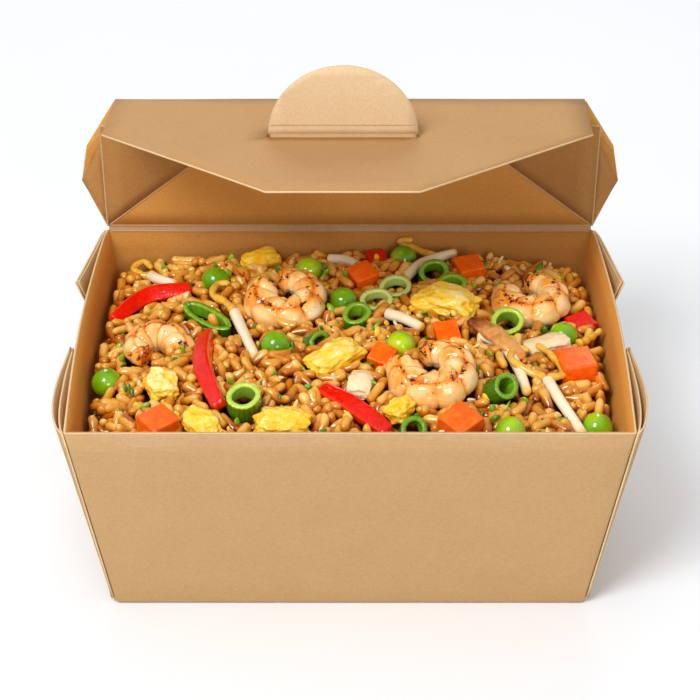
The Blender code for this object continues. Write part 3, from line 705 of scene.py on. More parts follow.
def dome_depth(u, v):
    """How far the heap lies below the rim, by the shares of the way to the walls."""
    across = abs(u) ** 3.2
    along = abs(v) ** 2.8 * (REAR_FALL_SHARE if v > 0 else 1.0)
    return CREST_DEPTH + EDGE_FALL * (across + along - CORNER_EASE * across * along)


def dome_height(x, y):
    """The heap's smooth top. The walls slope, so the height is found in a few rounds."""
    z = HEIGHT - CREST_DEPTH
    for _ in range(4):
        u = min(1.0, abs(x) / half_width(z))
        v = max(-1.0, min(1.0, y / half_depth(z)))
        z = HEIGHT - dome_depth(u, v)
    return z


def bed_height(x, y):
    return dome_height(x, y) - BED_DROP + 0.9 * MM * noise.noise(Vector((x, y, 0.0)) / (5 * MM))


def mix_values(tree, share, first, second, tones):
    """Mix two textures, with a share of the second, and take the colour from a ramp."""
    mix = put(tree, "ShaderNodeMix", data_type="FLOAT")
    mix.inputs[0].default_value = share
    wire(tree, first, "Fac", mix, 2)
    wire(tree, second, "Fac", mix, 3)
    wire(tree, mix, 0, tones, "Fac")


def moist_food(name, stops, scale, roughness, scatter, bump, coat=0.0, attribute=None,
               scatter_radius=(1.0, 0.5, 0.25), scatter_scale=1.5 * MM, share=0.5, spots=None):
    """Moist food: mottled colour, a soft glow under the surface and a wet shine."""
    material, tree, shader = node_tree(name)
    place = put(tree, "ShaderNodeTexCoord")
    mottle = mottling(tree, place, Scale=scale, Detail=4.0, Roughness=0.6)
    tones = ramp(tree, stops)
    if attribute:
        tint = put(tree, "ShaderNodeAttribute", attribute_name=attribute)
        mix_values(tree, share, tint, mottle, tones)
    else:
        wire(tree, mottle, "Fac", tones, "Fac")
    colour = (tones, 0)
    if spots:
        spot_scale, threshold, spot_colour = spots
        spot = mottling(tree, place, Scale=spot_scale, Detail=3.0, Roughness=0.7)
        mask = ramp(tree, ((threshold, (0.0, 0.0, 0.0)), (threshold + 0.06, (1.0, 1.0, 1.0))))
        wire(tree, spot, "Fac", mask, "Fac")
        mixed = blend_colours(tree, "MIX", (mask, 0), colour, spot_colour)
        colour = (mixed, MIX_OUT)
    wire(tree, *colour, shader, "Base Color")
    adjust(shader, {"Roughness": roughness, "Subsurface Weight": scatter,
                    "Subsurface Radius": scatter_radius, "Subsurface Scale": scatter_scale,
                    "Coat Weight": coat, "Coat Roughness": 0.06, "Coat IOR": 1.4, "IOR": 1.5})
    fine = mottling(tree, place, Scale=scale * 2.2, Detail=2.0, Roughness=0.6)
    roughen(tree, shader, fine, "Fac", 1.0, 0.5 * bump)
    return material


# The bed's dark colour is painted shade in the gaps between grains. The same material serves the dark pan
# flecks among the small bits.
rice_bed_shade_and_char = moist_food("packed_rice_shade_and_char", ((0.3, (0.09, 0.014, 0.001)), (0.7, (0.26, 0.065, 0.003))),
                      scale=300.0, roughness=0.4, scatter=0.1, bump=0.2 * MM)

bed = bmesh.new()
bmesh.ops.create_grid(bed, x_segments=60, y_segments=48, size=1.0)
for vert in bed.verts:
    u, v = vert.co.x, vert.co.y
    if abs(u) > 0.999 and abs(v) > 0.999:
        u, v = u * 0.98, v * 0.98
    z = HEIGHT - dome_depth(u, v)
    y = v * (half_depth(z) - BED_INSET)
    x = u * (half_width(z) - BED_INSET + side_bow(y, z))
    vert.co = Vector((x, y, bed_height(x, y)))
rim_edges = [edge for edge in bed.edges if edge.is_boundary]
skirt = bmesh.ops.extrude_edge_only(bed, edges=rim_edges)["geom"]
for vert in (item for item in skirt if isinstance(item, bmesh.types.BMVert)):
    shrink_x = (half_width(BED_INSET) - FOOT_INSET) / half_width(vert.co.z)
    shrink_y = (half_depth(BED_INSET) - FOOT_INSET) / half_depth(vert.co.z)
    vert.co = Vector((vert.co.x * shrink_x, vert.co.y * shrink_y, BED_INSET))
bmesh.ops.holes_fill(bed, edges=[edge for edge in bed.edges if edge.is_boundary])
bmesh.ops.recalc_face_normals(bed, faces=bed.faces)
finish_piece("rice_bed", bed, (rice_bed_shade_and_char,), "tray", replaces=("fried_rice",))


# Where the food lies
# Toppings are set on the heap by their places in millimetres from the middle of the carton.
# Each piece of food is kept, so that grains can be laid round it.
CURVE_STEPS = 16
food_pieces = []


def on_heap(x_mm, y_mm, lift):
    """A place at a height above the heap's smooth top."""
    x, y = x_mm * MM, y_mm * MM
    return Vector((x, y, dome_height(x, y) + lift))


def set_down(mesh, x_mm, y_mm, lift, turn_deg=0.0, tilt_deg=0.0, lean_deg=0.0):
    """Turn a shape made at the origin, lean it towards the front and set it on the heap."""
    turn = Euler((math.radians(tilt_deg), 0.0, math.radians(turn_deg)), "XYZ").to_matrix()
    lean = Matrix.Rotation(math.radians(lean_deg), 3, "X")
    spot = Matrix.Translation(on_heap(x_mm, y_mm, lift)) @ (lean @ turn).to_4x4()
    bmesh.ops.transform(mesh, matrix=spot, verts=mesh.verts)


def lay_piece(name, mesh, materials, node=None):
    """Finish a topping and note it, so that grains stay clear of it."""
    bmesh.ops.recalc_face_normals(mesh, faces=mesh.faces)
    piece = finish_piece(name, mesh, materials, "tray",
                         replaces=(node,) if node else ())
    food_pieces.append(piece)
    return piece


def curve_route(points, lift):
    """A smooth curve through given places on the heap."""
    knots = [on_heap(x, y, lift + up * MM) for x, y, up in points]
    padded = [2 * knots[0] - knots[1]] + knots + [2 * knots[-1] - knots[-2]]
    route = []
    for k in range(len(knots) - 1):
        a, b, c, d = padded[k:k + 4]
        for step in range(CURVE_STEPS):
            t = step / CURVE_STEPS
            route.append(0.5 * (2 * b + (c - a) * t + (2 * a - 5 * b + 4 * c - d) * t * t
                                + (3 * b - a - 3 * c + d) * t ** 3))
    route.append(knots[-1])
    return route


def on_sphere(vert):
    """A sphere's vertex as its share of the way between the poles and its angle round them."""
    unit = vert.co.normalized()
    return math.acos(max(-1.0, min(1.0, unit.z))) / math.pi, math.atan2(unit.y, unit.x)


def wrap_on_route(points, lift, section, segments, rings):
    """Lay a sphere's rings along a route. section(t, around) gives the offsets across and up."""
    mesh = bmesh.new()
    bmesh.ops.create_uvsphere(mesh, u_segments=segments, v_segments=rings, radius=1.0)
    route = curve_route(points, lift)
    last = len(route) - 1
    along = mesh.verts.layers.float.new("along")
    facing = mesh.verts.layers.float.new("facing")
    for vert in mesh.verts:
        t, around = on_sphere(vert)
        place = t * last
        k = min(int(place), last - 1)
        point = route[k].lerp(route[k + 1], place - k)
        ahead = (route[min(k + 2, last)] - route[max(k - 1, 0)]).normalized()
        across = ahead.cross(Vector((0.0, 0.0, 1.0))).normalized()
        up = across.cross(ahead).normalized()
        wide, high = section(t, around)
        vert.co = point + across * wide + up * high
        vert[along] = t
        vert[facing] = math.sin(around)
    return mesh


def rounded_end(t, share):
    """1 along the middle, falling in a quarter circle to 0 at each end."""
    near = min(t, 1.0 - t) / share
    return 1.0 if near >= 1.0 else math.sqrt(max(0.0, 1.0 - (1.0 - near) ** 2))


# Prawns
# Four cooked, peeled prawns, each curled into a tight ring. Overlapping segments bulge round the
# back, the flesh is golden with orange lines between them, and the pan has charred it in specks.
PRAWNS = (
    # node, x, y, turn, outer width, lift, lean to the front, span of the curl
    ("prawn_1", -57, -4, 30, 23, 2.8, 12, 250),
    ("prawn_2", -19, 20, 166, 26, 5.2, 18, 352),
    ("prawn_3", 56, 25, 176, 25, 4.4, 6, 330),
    ("prawn_4", 24, -23, 182, 27, 4.9, 14, 340),
)
SEGMENTS_PER_TURN = 8.2
MODEL_WIDTH = 26.0
CURL_START = -35.0
VEIN_ANGLE = 1.2
UNDERSIDE_ANGLE = -0.42


def prawn_flesh():
    """Cooked flesh: golden, with orange where it is flushed and black specks where charred."""
    material, tree, shader = node_tree("cooked_prawn")
    place = put(tree, "ShaderNodeTexCoord")
    blush = put(tree, "ShaderNodeAttribute", attribute_name="blush")
    mottle = mottling(tree, place, Scale=420.0, Detail=5.0, Roughness=0.65)
    tones = ramp(tree, ((0.20, (0.99, 0.72, 0.42)), (0.36, (0.97, 0.60, 0.22)),
                        (0.50, (0.94, 0.37, 0.04)), (0.68, (0.74, 0.12, 0.004))))
    mix_values(tree, 0.34, blush, mottle, tones)
    char = put(tree, "ShaderNodeAttribute", attribute_name="char")
    speck = mottling(tree, place, Scale=560.0, Detail=3.0, Roughness=0.7)
    both = put(tree, "ShaderNodeMath", operation="MULTIPLY")
    wire(tree, char, "Fac", both, 0)
    wire(tree, speck, "Fac", both, 1)
    mask = ramp(tree, ((0.50, (0.0, 0.0, 0.0)), (0.55, (1.0, 1.0, 1.0))))
    wire(tree, both, "Value", mask, "Fac")
    colour = blend_colours(tree, "MIX", (mask, 0), (tones, 0), (0.06, 0.012, 0.003))
    wire(tree, colour, MIX_OUT, shader, "Base Color")
    adjust(shader, {"Roughness": 0.12, "IOR": 1.5, "Coat Weight": 0.4, "Coat Roughness": 0.06,
                    "Subsurface Weight": 0.5, "Subsurface Radius": (1.0, 0.45, 0.2),
                    "Subsurface Scale": 1.4 * MM})
    fine = mottling(tree, place, Scale=1000.0, Detail=2.0)
    roughen(tree, shader, fine, "Fac", 1.0, 0.07 * MM)
    return material


prawn_material = prawn_flesh()


def prawn_girth(t):
    """The body's half thickness along the curl, for a prawn 26 mm across: thick, then tapering."""
    body = 5.3 + 0.7 * math.sin(math.pi * min(1.0, t / 0.4) / 2)
    body -= 4.4 * max(0.0, t - 0.42) ** 1.2
    return body * rounded_end(t, 0.05)


def curled_prawn(node, x, y, turn, width, lift, lean, span):
    """A sphere's rings laid round a curl, swollen into segments, with lines and char painted on."""
    scale = width * MM / MODEL_WIDTH
    segments = SEGMENTS_PER_TURN * span / 360.0
    mesh = bmesh.new()
    bmesh.ops.create_uvsphere(mesh, u_segments=56, v_segments=170, radius=1.0)
    blush = mesh.verts.layers.float.new("blush")
    char = mesh.verts.layers.float.new("char")
    for vert in mesh.verts:
        t, around = on_sphere(vert)
        outward, upward = math.cos(around), math.sin(around)
        drift = 0.16 * ripple(x + t * 5.0, outward * 1.5, upward * 1.5)
        phase = (t * segments + 0.26 * upward * outward + 0.10 * outward + drift) % 1.0
        angle = math.radians(CURL_START + span * t)
        reach = (7.6 - 2.4 * t * t) * scale
        body = prawn_girth(t) * scale
        bulge = math.sin(math.pi * phase) ** 0.55
        outer = 0.40 + 0.60 * max(0.0, outward, 0.85 * upward)
        girth = body * (0.86 + 0.20 * bulge * outer)
        vein = math.exp(-((around - VEIN_ANGLE - 1.2 * drift) / 0.13) ** 2) * (t < 0.88)
        band = math.exp(-((around - UNDERSIDE_ANGLE) / 0.11) ** 2) * (0.05 < t < 0.92)
        girth *= 1.0 - 0.09 * vein - 0.09 * band - 0.06 * (around < UNDERSIDE_ANGLE)
        lump = ripple(x + t * 16.0, outward * 2.6, upward * 2.6)
        ragged = max(0.0, 1.0 - t / 0.10) * ripple(x, outward * 6.0, upward * 6.0)
        girth *= 1.0 + 0.07 * lump + 0.22 * ragged
        wide = girth * (outward if outward > 0 else 0.92 * outward)
        high = girth * upward
        r = reach + wide
        vert.co = Vector((r * math.cos(angle), r * math.sin(angle),
                          high + (3.0 * t - 1.2) * scale))
        edge = min(phase, 1.0 - phase)
        line = math.exp(-(edge / 0.045) ** 2) * (0.55 + 0.9 * noise.noise(vert.co * 300.0))
        top = max(0.0, upward)
        ends = max(0.0, 1.0 - t / 0.08) + max(0.0, (t - 0.86) / 0.14)
        flush = noise.noise(vert.co * 190.0)
        vert[blush] = clamp(0.25 + 0.50 * line + 0.30 * vein + 0.16 * band + 0.12 * top * top
                            + 0.34 * ends + 0.34 * flush - 0.13 * (around < UNDERSIDE_ANGLE))
        vert[char] = min(1.0, 0.66 + 0.14 * top + 0.24 * ends + 0.22 * max(0.0, flush)
                         + 0.14 * vein + 0.10 * line)
    set_down(mesh, x, y, lift * MM, turn, 0.0, lean)
    lay_piece(f"cooked_{node}", mesh, (prawn_material,), node)


for row in PRAWNS:
    curled_prawn(*row)


# Peas
# Cooked garden peas, tight-skinned and shiny, some a yellower green than others. They lie half
# sunk in the rice.
PEAS = (
    # x, y, how yellow
    (-71, -17, 0.25), (-42, 38, 0.2), (-22, -5, 0.25), (-13, 44, 0.7), (-2, 22, 0.15),
    (17, 54, 0.35), (15, -5, 0.9), (64, 7, 0.35), (45, -46, 0.7), (70, -40, 0.4),
)
PEA_RADIUS = 4.35 * MM
PEA_LIFT = 3.0 * MM
pea_skin = moist_food(
    "pea_skin", ((0.1, (0.085, 0.26, 0.001)), (0.45, (0.20, 0.45, 0.002)),
                 (0.9, (0.54, 0.74, 0.006))),
    scale=230.0, roughness=0.12, scatter=0.2, bump=0.05 * MM,
    coat=0.6, attribute="tint", scatter_radius=(0.6, 1.0, 0.1),
    share=0.3)

for number, (x, y, yellow) in enumerate(PEAS, 1):
    pea = bmesh.new()
    bmesh.ops.create_icosphere(pea, subdivisions=5, radius=PEA_RADIUS)
    tint = pea.verts.layers.float.new("tint")
    for vert in pea.verts:
        swell = noise.noise(vert.co * 220.0 + Vector((x, y, 0.0)))
        wrinkle = abs(noise.noise(vert.co * 520.0 + Vector((y, x, 4.0))))
        seam = math.exp(-(vert.co.x / (0.6 * MM)) ** 2) * (vert.co.y > 0)
        vert.co *= 1.0 + 0.025 * swell - 0.012 * wrinkle - 0.015 * seam
        vert[tint] = clamp(yellow + 0.5 * swell)
    set_down(pea, x, y, PEA_LIFT, 47 * number, 30.0)
    lay_piece(f"garden_pea_{number}", pea, (pea_skin,), f"pea_{number}")


# Carrot and pepper dice
# Knife-cut cubes of carrot and red pepper with slightly rounded edges and flat, moist faces.
# They are pressed a little into the rice and lean towards the front.
CARROTS = (
    # x, y, turn, side, lean to the front
    (-54, -43, 38, 8.8, 10), (4, 38, 30, 8.2, 10), (37.5, 45, 18, 8.6, 8),
    (66, -12, 10, 10.4, 6), (31, -45, 42, 9.6, 14), (9.5, -12, 62, 7.0, 20),
    (29, 2.5, 12, 7.2, 24),
)
PEPPER_DICE = ((70.2, 17.2, 30, 7.5, 10), (8.4, 54.8, 12, 6.2, 12))
carrot_flesh = moist_food(
    "carrot_flesh", ((0.28, (0.92, 0.080, 0.001)), (0.5, (0.98, 0.135, 0.001)),
                     (0.78, (1.0, 0.23, 0.003))),
    scale=420.0, roughness=0.34, scatter=0.15, bump=0.30 * MM,
    scatter_radius=(1.0, 0.25, 0.05))
pepper_skin = moist_food(
    "pepper_skin", ((0.25, (0.60, 0.004, 0.001)), (0.6, (0.80, 0.010, 0.001)),
                    (0.85, (0.92, 0.040, 0.002))),
    scale=420.0, roughness=0.12, scatter=0.1, bump=0.30 * MM,
    scatter_radius=(1.0, 0.1, 0.05))
pepper_cut = moist_food(
    "pepper_cut", ((0.25, (0.82, 0.020, 0.001)), (0.6, (0.94, 0.050, 0.002)),
                   (0.85, (0.98, 0.12, 0.004))),
    scale=420.0, roughness=0.16, scatter=0.15, bump=0.24 * MM,
    coat=0.6, scatter_radius=(1.0, 0.15, 0.05))


def cut_cube(name, x, y, turn, size, lean, materials, node, height_share=0.92):
    """A slightly skewed cube with rounded edges and uneven faces."""
    mesh = bmesh.new()
    bmesh.ops.create_cube(mesh, size=size * MM)
    for vert in mesh.verts:
        vert.co.x += 0.08 * vert.co.z * math.sin(x)
        vert.co.y += 0.06 * vert.co.x * math.cos(y)
        vert.co.z *= height_share
    round_edges(mesh, mesh.edges[:], 0.045 * size * MM, 3)
    bmesh.ops.subdivide_edges(mesh, edges=[e for e in mesh.edges if e.calc_length() > MM],
                              cuts=9, use_grid_fill=True)
    for vert in mesh.verts:
        wave = noise.noise(vert.co * 150.0 + Vector((x, y, 2.0)))
        fine = noise.noise(vert.co * 700.0 + Vector((y, x, 7.0)))
        vert.co += vert.co.normalized() * (0.30 * wave + 0.07 * fine) * MM
    set_down(mesh, x, y, 0.30 * size * MM, turn, 0.0, lean)
    lay_piece(name, mesh, materials, node)


for number, (x, y, turn, size, lean) in enumerate(CARROTS, 1):
    cut_cube(f"carrot_cube_{number}", x, y, turn, size, lean, (carrot_flesh,),
             f"carrot_{number}")
for number, (x, y, turn, size, lean) in enumerate(PEPPER_DICE, 1):
    cut_cube(f"pepper_die_{number}", x, y, turn, size, lean, (pepper_skin,),
             f"pepper_piece_{number}", 0.7)


# Red pepper strips
# Long slices of red pepper, wider than thick. The skin side is dark and shiny, and the cut sides
# are paler and more orange.
PEPPER_STRIPS = (
    # places along the strip as x, y and rise, then how far the skin side turns to the front
    (((-73, 20, 1.0), (-63, 31, 1.6), (-49, 33, 1.2)), -38),
    (((-42.6, 4, 1.2), (-42.8, -16, 2.0), (-37, -36, 0.8)), -30),
    (((-8, -28, 0.6), (1, -37, 1.2), (11, -47, 0.6)), -18),
)
STRIP_HALF_WIDTH = 2.7 * MM
STRIP_HALF_THICKNESS = 1.75 * MM
STRIP_LIFT = 2.0 * MM


def strip_section(roll):
    """A box with rounded corners, rolled about the strip, thinner towards both ends."""
    turn, tip = math.cos(math.radians(roll)), math.sin(math.radians(roll))

    def section(t, around):
        end = rounded_end(t, 0.035)
        wide = math.copysign(abs(math.cos(around)) ** 0.34, math.cos(around))
        high = math.copysign(abs(math.sin(around)) ** 0.34, math.sin(around))
        taper = 0.78 + 0.22 * math.sin(math.pi * t)
        wide *= STRIP_HALF_WIDTH * taper * end
        high *= STRIP_HALF_THICKNESS * end * (1.0 + 0.12 * (high > 0) * math.sin(5 * t))
        return wide * turn - high * tip, wide * tip + high * turn

    return section


for number, (points, roll) in enumerate(PEPPER_STRIPS, 1):
    strip = wrap_on_route(points, STRIP_LIFT, strip_section(roll), 40, 80)
    facing = strip.verts.layers.float["facing"]
    for face in strip.faces:
        skin = sum(vert[facing] for vert in face.verts) / len(face.verts) > 0.66
        face.material_index = 0 if skin else 1
    for vert in strip.verts:
        vert.co += Vector((0.0, 0.0, 0.25 * MM * noise.noise(vert.co * 160.0)))
    lay_piece(f"pepper_slice_{number}", strip, (pepper_skin, pepper_cut),
              f"pepper_strip_{number}")


# Scrambled egg
# Torn lumps of soft egg: bright yellow folds with paler cream tops, partly the egg's own colour and partly
# painted highlight, and a few browned places. Two scraps of pale cooked onion are torn in the same way.
EGG_PIECES = (
    # x, y, turn, length, width, height, lift, how pale the top is: cream and painted highlight
    (-54, -25, 110, 11.5, 8.5, 8.0, 4.0, 0.9), (-41.5, -45, 128, 13.5, 8, 8, 3.4, 0.35),
    (-19, -45, 12, 15, 9.5, 8.5, 3.4, 0.3), (-4, -14, 38, 16.5, 9.5, 8.5, 4.0, 0.7),
    (29, 18, 158, 19, 11, 9, 4.6, 0.55), (-28.5, 52, 25, 11.5, 8, 8, 3.0, 0.0),
    (14, -38.5, 60, 7.5, 6.5, 6.5, 3.0, 0.15),
)
PALE_PIECES = ((58.5, -1, 22, 14, 7, 6, 3.4, 0.5), (3, -27, 80, 9.5, 7, 6, 3.2, 0.7))
egg_curd = moist_food(
    "egg_curd", ((0.12, (0.98, 0.31, 0.001)), (0.28, (1.0, 0.51, 0.003)),
                 (0.48, (1.0, 0.66, 0.05)), (0.70, (1.0, 0.84, 0.40))),
    scale=330.0, roughness=0.24, scatter=0.10, bump=0.5 * MM,
    attribute="tint", share=0.62,
    scatter_radius=(1.0, 0.6, 0.12), spots=(190.0, 0.70, (0.62, 0.20, 0.012)))
pale_flesh = moist_food(
    "pale_flesh", ((0.3, (0.86, 0.62, 0.32)), (0.7, (0.95, 0.82, 0.56))),
    scale=260.0, roughness=0.28, scatter=0.4, bump=0.2 * MM,
    coat=0.5, spots=(240.0, 0.66, (0.60, 0.20, 0.03)))


def torn_lump(name, row, material, node, folds):
    """A sphere squeezed into a ragged lump: swollen curds, then creases and fine pores."""
    x, y, turn, length, width, height, lift, top_cream_and_highlight = row
    mesh = bmesh.new()
    bmesh.ops.create_icosphere(mesh, subdivisions=6, radius=1.0)
    tint = mesh.verts.layers.float.new("tint")
    for vert in mesh.verts:
        unit = vert.co.copy()
        seed = Vector((x * 0.37, y * 0.53, 0.0))
        wave = noise.noise(unit * 1.3 + seed)
        curd = noise.noise(unit * 2.4 + seed * 1.7)
        curl = noise.noise(unit * 4.6 + seed * 2.3)
        fine = noise.noise(unit * 9.0 + seed)
        grow = 0.96 + folds * (0.22 * wave + 0.16 * curd + 0.07 * curl) + 0.02 * fine
        square = 1.0 / max(abs(unit.x), abs(unit.y), 0.74)
        vert.co = Vector((unit.x * square * length / 2, unit.y * square * width / 2,
                          unit.z * height / 2)) * grow * MM
        # The tops are tinted paler: partly the egg's own cream colour, partly painted highlight.
        shade = top_cream_and_highlight * max(0.0, unit.z + 0.2 * wave) + 0.5 * curd + 0.3 * curl
        vert[tint] = clamp(0.20 + 0.62 * shade)
    set_down(mesh, x, y, lift * MM, turn, 0.0, 8.0)
    lay_piece(name, mesh, (material,), node)


for number, row in enumerate(EGG_PIECES, 1):
    torn_lump(f"egg_curd_{number}", row, egg_curd, f"egg_{number}", 1.0)
for number, row in enumerate(PALE_PIECES, 1):
    torn_lump(f"pale_scrap_{number}", row, pale_flesh, f"pale_piece_{number}", 0.5)


# Spring onion
# Short lengths of hollow green leaf, cut across, with a paler inside and cut edge. They stand or
# lean on the rice, and some are squashed.
ONION_RINGS = (
    # x, y, turn, tilt, lean to the front, radius, length, squash, how pale
    (-43, 12, -40, 4, 12, 9.4, 4.4, 0.36, 0.05), (-30, -36, 10, 0, 30, 4.9, 7.5, 0.9, 0.5),
    (2, 11, 60, 0, 18, 4.6, 5.0, 0.9, 0.12), (8, 22, 20, 0, 20, 5.2, 3.8, 0.86, 0.72),
    (14, 31, 30, 0, 18, 5.2, 3.8, 0.86, 0.72), (26, 41, 30, 14, 20, 4.8, 5.0, 0.86, 0.1),
    (31.5, 32, 10, -8, 24, 4.8, 4.6, 0.84, 0.15), (47, 8, 10, 0, 36, 4.9, 6.5, 0.9, 0.45),
    (43, -28, 60, 44, 8, 4.8, 6.0, 0.8, 0.05), (17.5, -46, 60, 20, 30, 4.3, 3.2, 0.86, 0.0),
    (-10, -2, 40, 60, 6, 4.0, 4.2, 0.7, 0.05),
)
ONION_WALL = 1.45 * MM
leaf_skin = moist_food(
    "leaf_skin", ((0.1, (0.025, 0.125, 0.001)), (0.45, (0.13, 0.34, 0.003)),
                  (0.9, (0.62, 0.78, 0.05))),
    scale=520.0, roughness=0.24, scatter=0.2, bump=0.12 * MM,
    coat=0.6, attribute="tint", scatter_radius=(0.4, 1.0, 0.1),
    share=0.28)
leaf_cut = moist_food(
    "leaf_cut", ((0.1, (0.12, 0.33, 0.006)), (0.45, (0.44, 0.64, 0.04)),
                 (0.9, (0.86, 0.92, 0.42))),
    scale=520.0, roughness=0.28, scatter=0.25, bump=0.1 * MM,
    coat=0.5, attribute="tint", scatter_radius=(0.6, 1.0, 0.2),
    share=0.28)

for number, row in enumerate(ONION_RINGS, 1):
    x, y, turn, tilt, lean, radius, length, squash, pale = row
    ring = bmesh.new()
    outer = radius * MM
    bmesh.ops.create_cone(ring, cap_ends=False, segments=64, radius1=outer, radius2=outer,
                          depth=length * MM)
    cut_up(ring, 2, span(-length / 2 * MM, length / 2 * MM, 9))
    tint = ring.verts.layers.float.new("tint")
    for vert in ring.verts:
        angle = math.atan2(vert.co.y, vert.co.x)
        rib = math.sin(21 * angle + number) + 0.6 * math.sin(34 * angle + 2 * number)
        dent = 0.08 * ripple(math.cos(angle) * 1.3, number, vert.co.z * 150.0)
        grow = 1.0 + 0.010 * rib + dent
        vert.co.x *= grow
        vert.co.y *= squash * grow
        vert.co.z *= 1.0 + 0.12 * math.sin(angle + number)
        vert[tint] = clamp(pale + 0.07 * rib)
    set_down(ring, x, y, 0.5 * length * MM + 0.6 * MM, turn, tilt, lean)
    bmesh.ops.recalc_face_normals(ring, faces=ring.faces)
    piece = lay_piece(f"spring_onion_{number}", ring, (leaf_skin, leaf_cut),
                      f"onion_ring_{number}")
    thicken(piece, ONION_WALL, -1.0).material_offset = 1


# Bean sprouts
# Plump white stems, part clear, that thin to a curled yellow-brown root. Stems and roots are
# round in section and laid along curves over the heap.
SPROUTS = (
    # places along each stem as x, y and rise
    ((-35, 14, 2.6), (-33, 7, 1.8), (-30, -3, 1.0), (-27, -12, 0.4)),
    ((-63, 48, 0.8), (-60, 43, 1.4), (-54, 38, 1.0)),
    ((17, 39, 0.8), (22, 47, 2.0), (28, 52, 2.6), (34, 56, 3.0)),
    ((11, 14, 1.2), (16, 10, 1.8), (22, 5, 1.2)),
    ((38, 1, 2.2), (45, -4, 1.8), (49, -16, 1.4), (51, -28, 0.6)),
    ((57, -20, 1.4), (60, -31, 2.0), (66, -45, 1.2)),
    ((-7, 55, 0.4), (-1, 52, 1.2), (4, 47, 0.4)),
)
SPROUT_RADIUS = 1.85 * MM
SPROUT_LIFT = 1.9 * MM
ROOTS = (
    # places along each root as x, y and rise
    ((-35, 14, 2.6), (-38, 19, 3.2), (-42, 24, 3.4), (-41, 30, 3.8), (-37, 31, 3.6)),
    ((-63, 48, 0.8), (-66, 48, 1.8), (-69, 52, 2.8), (-66, 56, 3.0), (-63, 52, 1.8)),
    ((28, 52, 2.4), (20, 58, 3.4), (16, 59, 5.4), (20, 58, 6.4)),
    ((57, -20, 1.4), (51, -18, 2.4), (47, -13, 2.8), (49, -7, 3.0), (53, -7, 2.4)),
    ((57, -20, 1.6), (62, -17, 2.4), (59, -9, 3.2), (55, -4, 3.2)),
    ((68, 2, 2.2), (72, 6, 3.0), (76, 11, 4.2)),
)
sprout_stem = moist_food(
    "sprout_stem", ((0.05, (0.93, 0.84, 0.62)), (0.3, (0.95, 0.82, 0.52)),
                    (0.6, (0.86, 0.50, 0.10)), (0.9, (0.70, 0.30, 0.02))),
    scale=300.0, roughness=0.22, scatter=0.3, bump=0.08 * MM,
    coat=0.6, attribute="browning", share=0.2,
    scatter_scale=2.2 * MM)
root_skin = moist_food(
    "root_skin", ((0.3, (0.74, 0.33, 0.02)), (0.6, (0.88, 0.52, 0.06)),
                  (0.85, (0.94, 0.68, 0.18))),
    scale=420.0, roughness=0.24, scatter=0.35, bump=0.12 * MM,
    coat=0.6)


def stem_section(t, around):
    girth = SPROUT_RADIUS * (1.0 - 0.22 * t) * rounded_end(t, 0.05)
    return girth * math.cos(around), girth * math.sin(around)


def root_section(t, around):
    girth = 1.35 * MM * (1.0 - 0.35 * t) * rounded_end(t, 0.06)
    girth *= 1.0 + 0.12 * math.sin(23.0 * t)
    return girth * math.cos(around), girth * math.sin(around)


for number, points in enumerate(SPROUTS, 1):
    stem = wrap_on_route(points, SPROUT_LIFT, stem_section, 20, 60)
    along = stem.verts.layers.float["along"]
    browning = stem.verts.layers.float.new("browning")
    for vert in stem.verts:
        t = vert[along]
        vert[browning] = 0.75 * max(0.0, (t - 0.86) / 0.14) + max(0.0, (0.12 - t) * 5.0)
    lay_piece(f"bean_sprout_{number}", stem, (sprout_stem,), f"sprout_{number}")

for number, points in enumerate(ROOTS, 1):
    root = wrap_on_route(points, SPROUT_LIFT, root_section, 16, 60)
    lay_piece(f"sprout_root_{number}", root, (root_skin,))


# Seared onion
# A folded scrap of onion skin, fried dark at its upper end and clear amber below. It lies over
# one of the sprouts.
seared_skin = moist_food(
    "seared_skin", ((0.22, (0.06, 0.008, 0.003)), (0.36, (0.34, 0.085, 0.02)),
                    (0.56, (0.74, 0.36, 0.10)), (0.8, (0.76, 0.20, 0.012))),
    scale=320.0, roughness=0.14, scatter=0.3, bump=0.2 * MM,
    coat=0.7, attribute="along", share=0.55)


def seared_section(t, around):
    girth = (1.7 + 1.5 * math.sin(math.pi * t)) * MM * rounded_end(t, 0.08)
    return girth * math.cos(around), 0.62 * girth * math.sin(around)


SEARED_ROUTE = ((35, 5, 4.4), (40, 2, 4.0), (46, -5, 3.2), (51, -11, 1.6))
seared = wrap_on_route(SEARED_ROUTE, SPROUT_LIFT, seared_section, 20, 50)
for vert in seared.verts:
    vert.co += Vector((0.5, 0.3, 1.0)) * 0.45 * MM * noise.noise(vert.co * 330.0)
lay_piece("seared_onion", seared, (seared_skin,))


# Rice grains
# Cooked grains, plump and glazed, lie in every direction and rest on each other. They are laid
# one by one on a height map of the bed and the toppings until the heap is full.
CELL = 0.5 * MM
GRAIN_LENGTH = 7.7 * MM
GRAIN_WIDTH = 3.2 * MM
GRAIN_SEED = 11
GRAIN_TRIES = 6
GRAINS_MOST = 3000
MISSES_MOST = 500
STEEP_SHARE = 0.30
WALL_GAP = 1.0 * MM
ROOM_DEPTH = 3 * MM
REST_SHARE = 0.34
TAKEN_MOST = 0.12
LEAST_SHORT = 0.30 * GRAIN_WIDTH
# How far a grain lies above or below the heap's top sets its painted shade or light.
SHADE_RISE = 2.6 * MM
STACK_MOST = 5.2 * MM
FULL_LEVEL = 1.2 * MM
HEAP_WAVE = 1.5 * MM
columns = int(2 * RIM_HALF_X / CELL)
rows = int(2 * RIM_HALF_Y / CELL)
cell_x = (np.arange(columns) + 0.5) * CELL - RIM_HALF_X
cell_y = (np.arange(rows) + 0.5) * CELL - RIM_HALF_Y


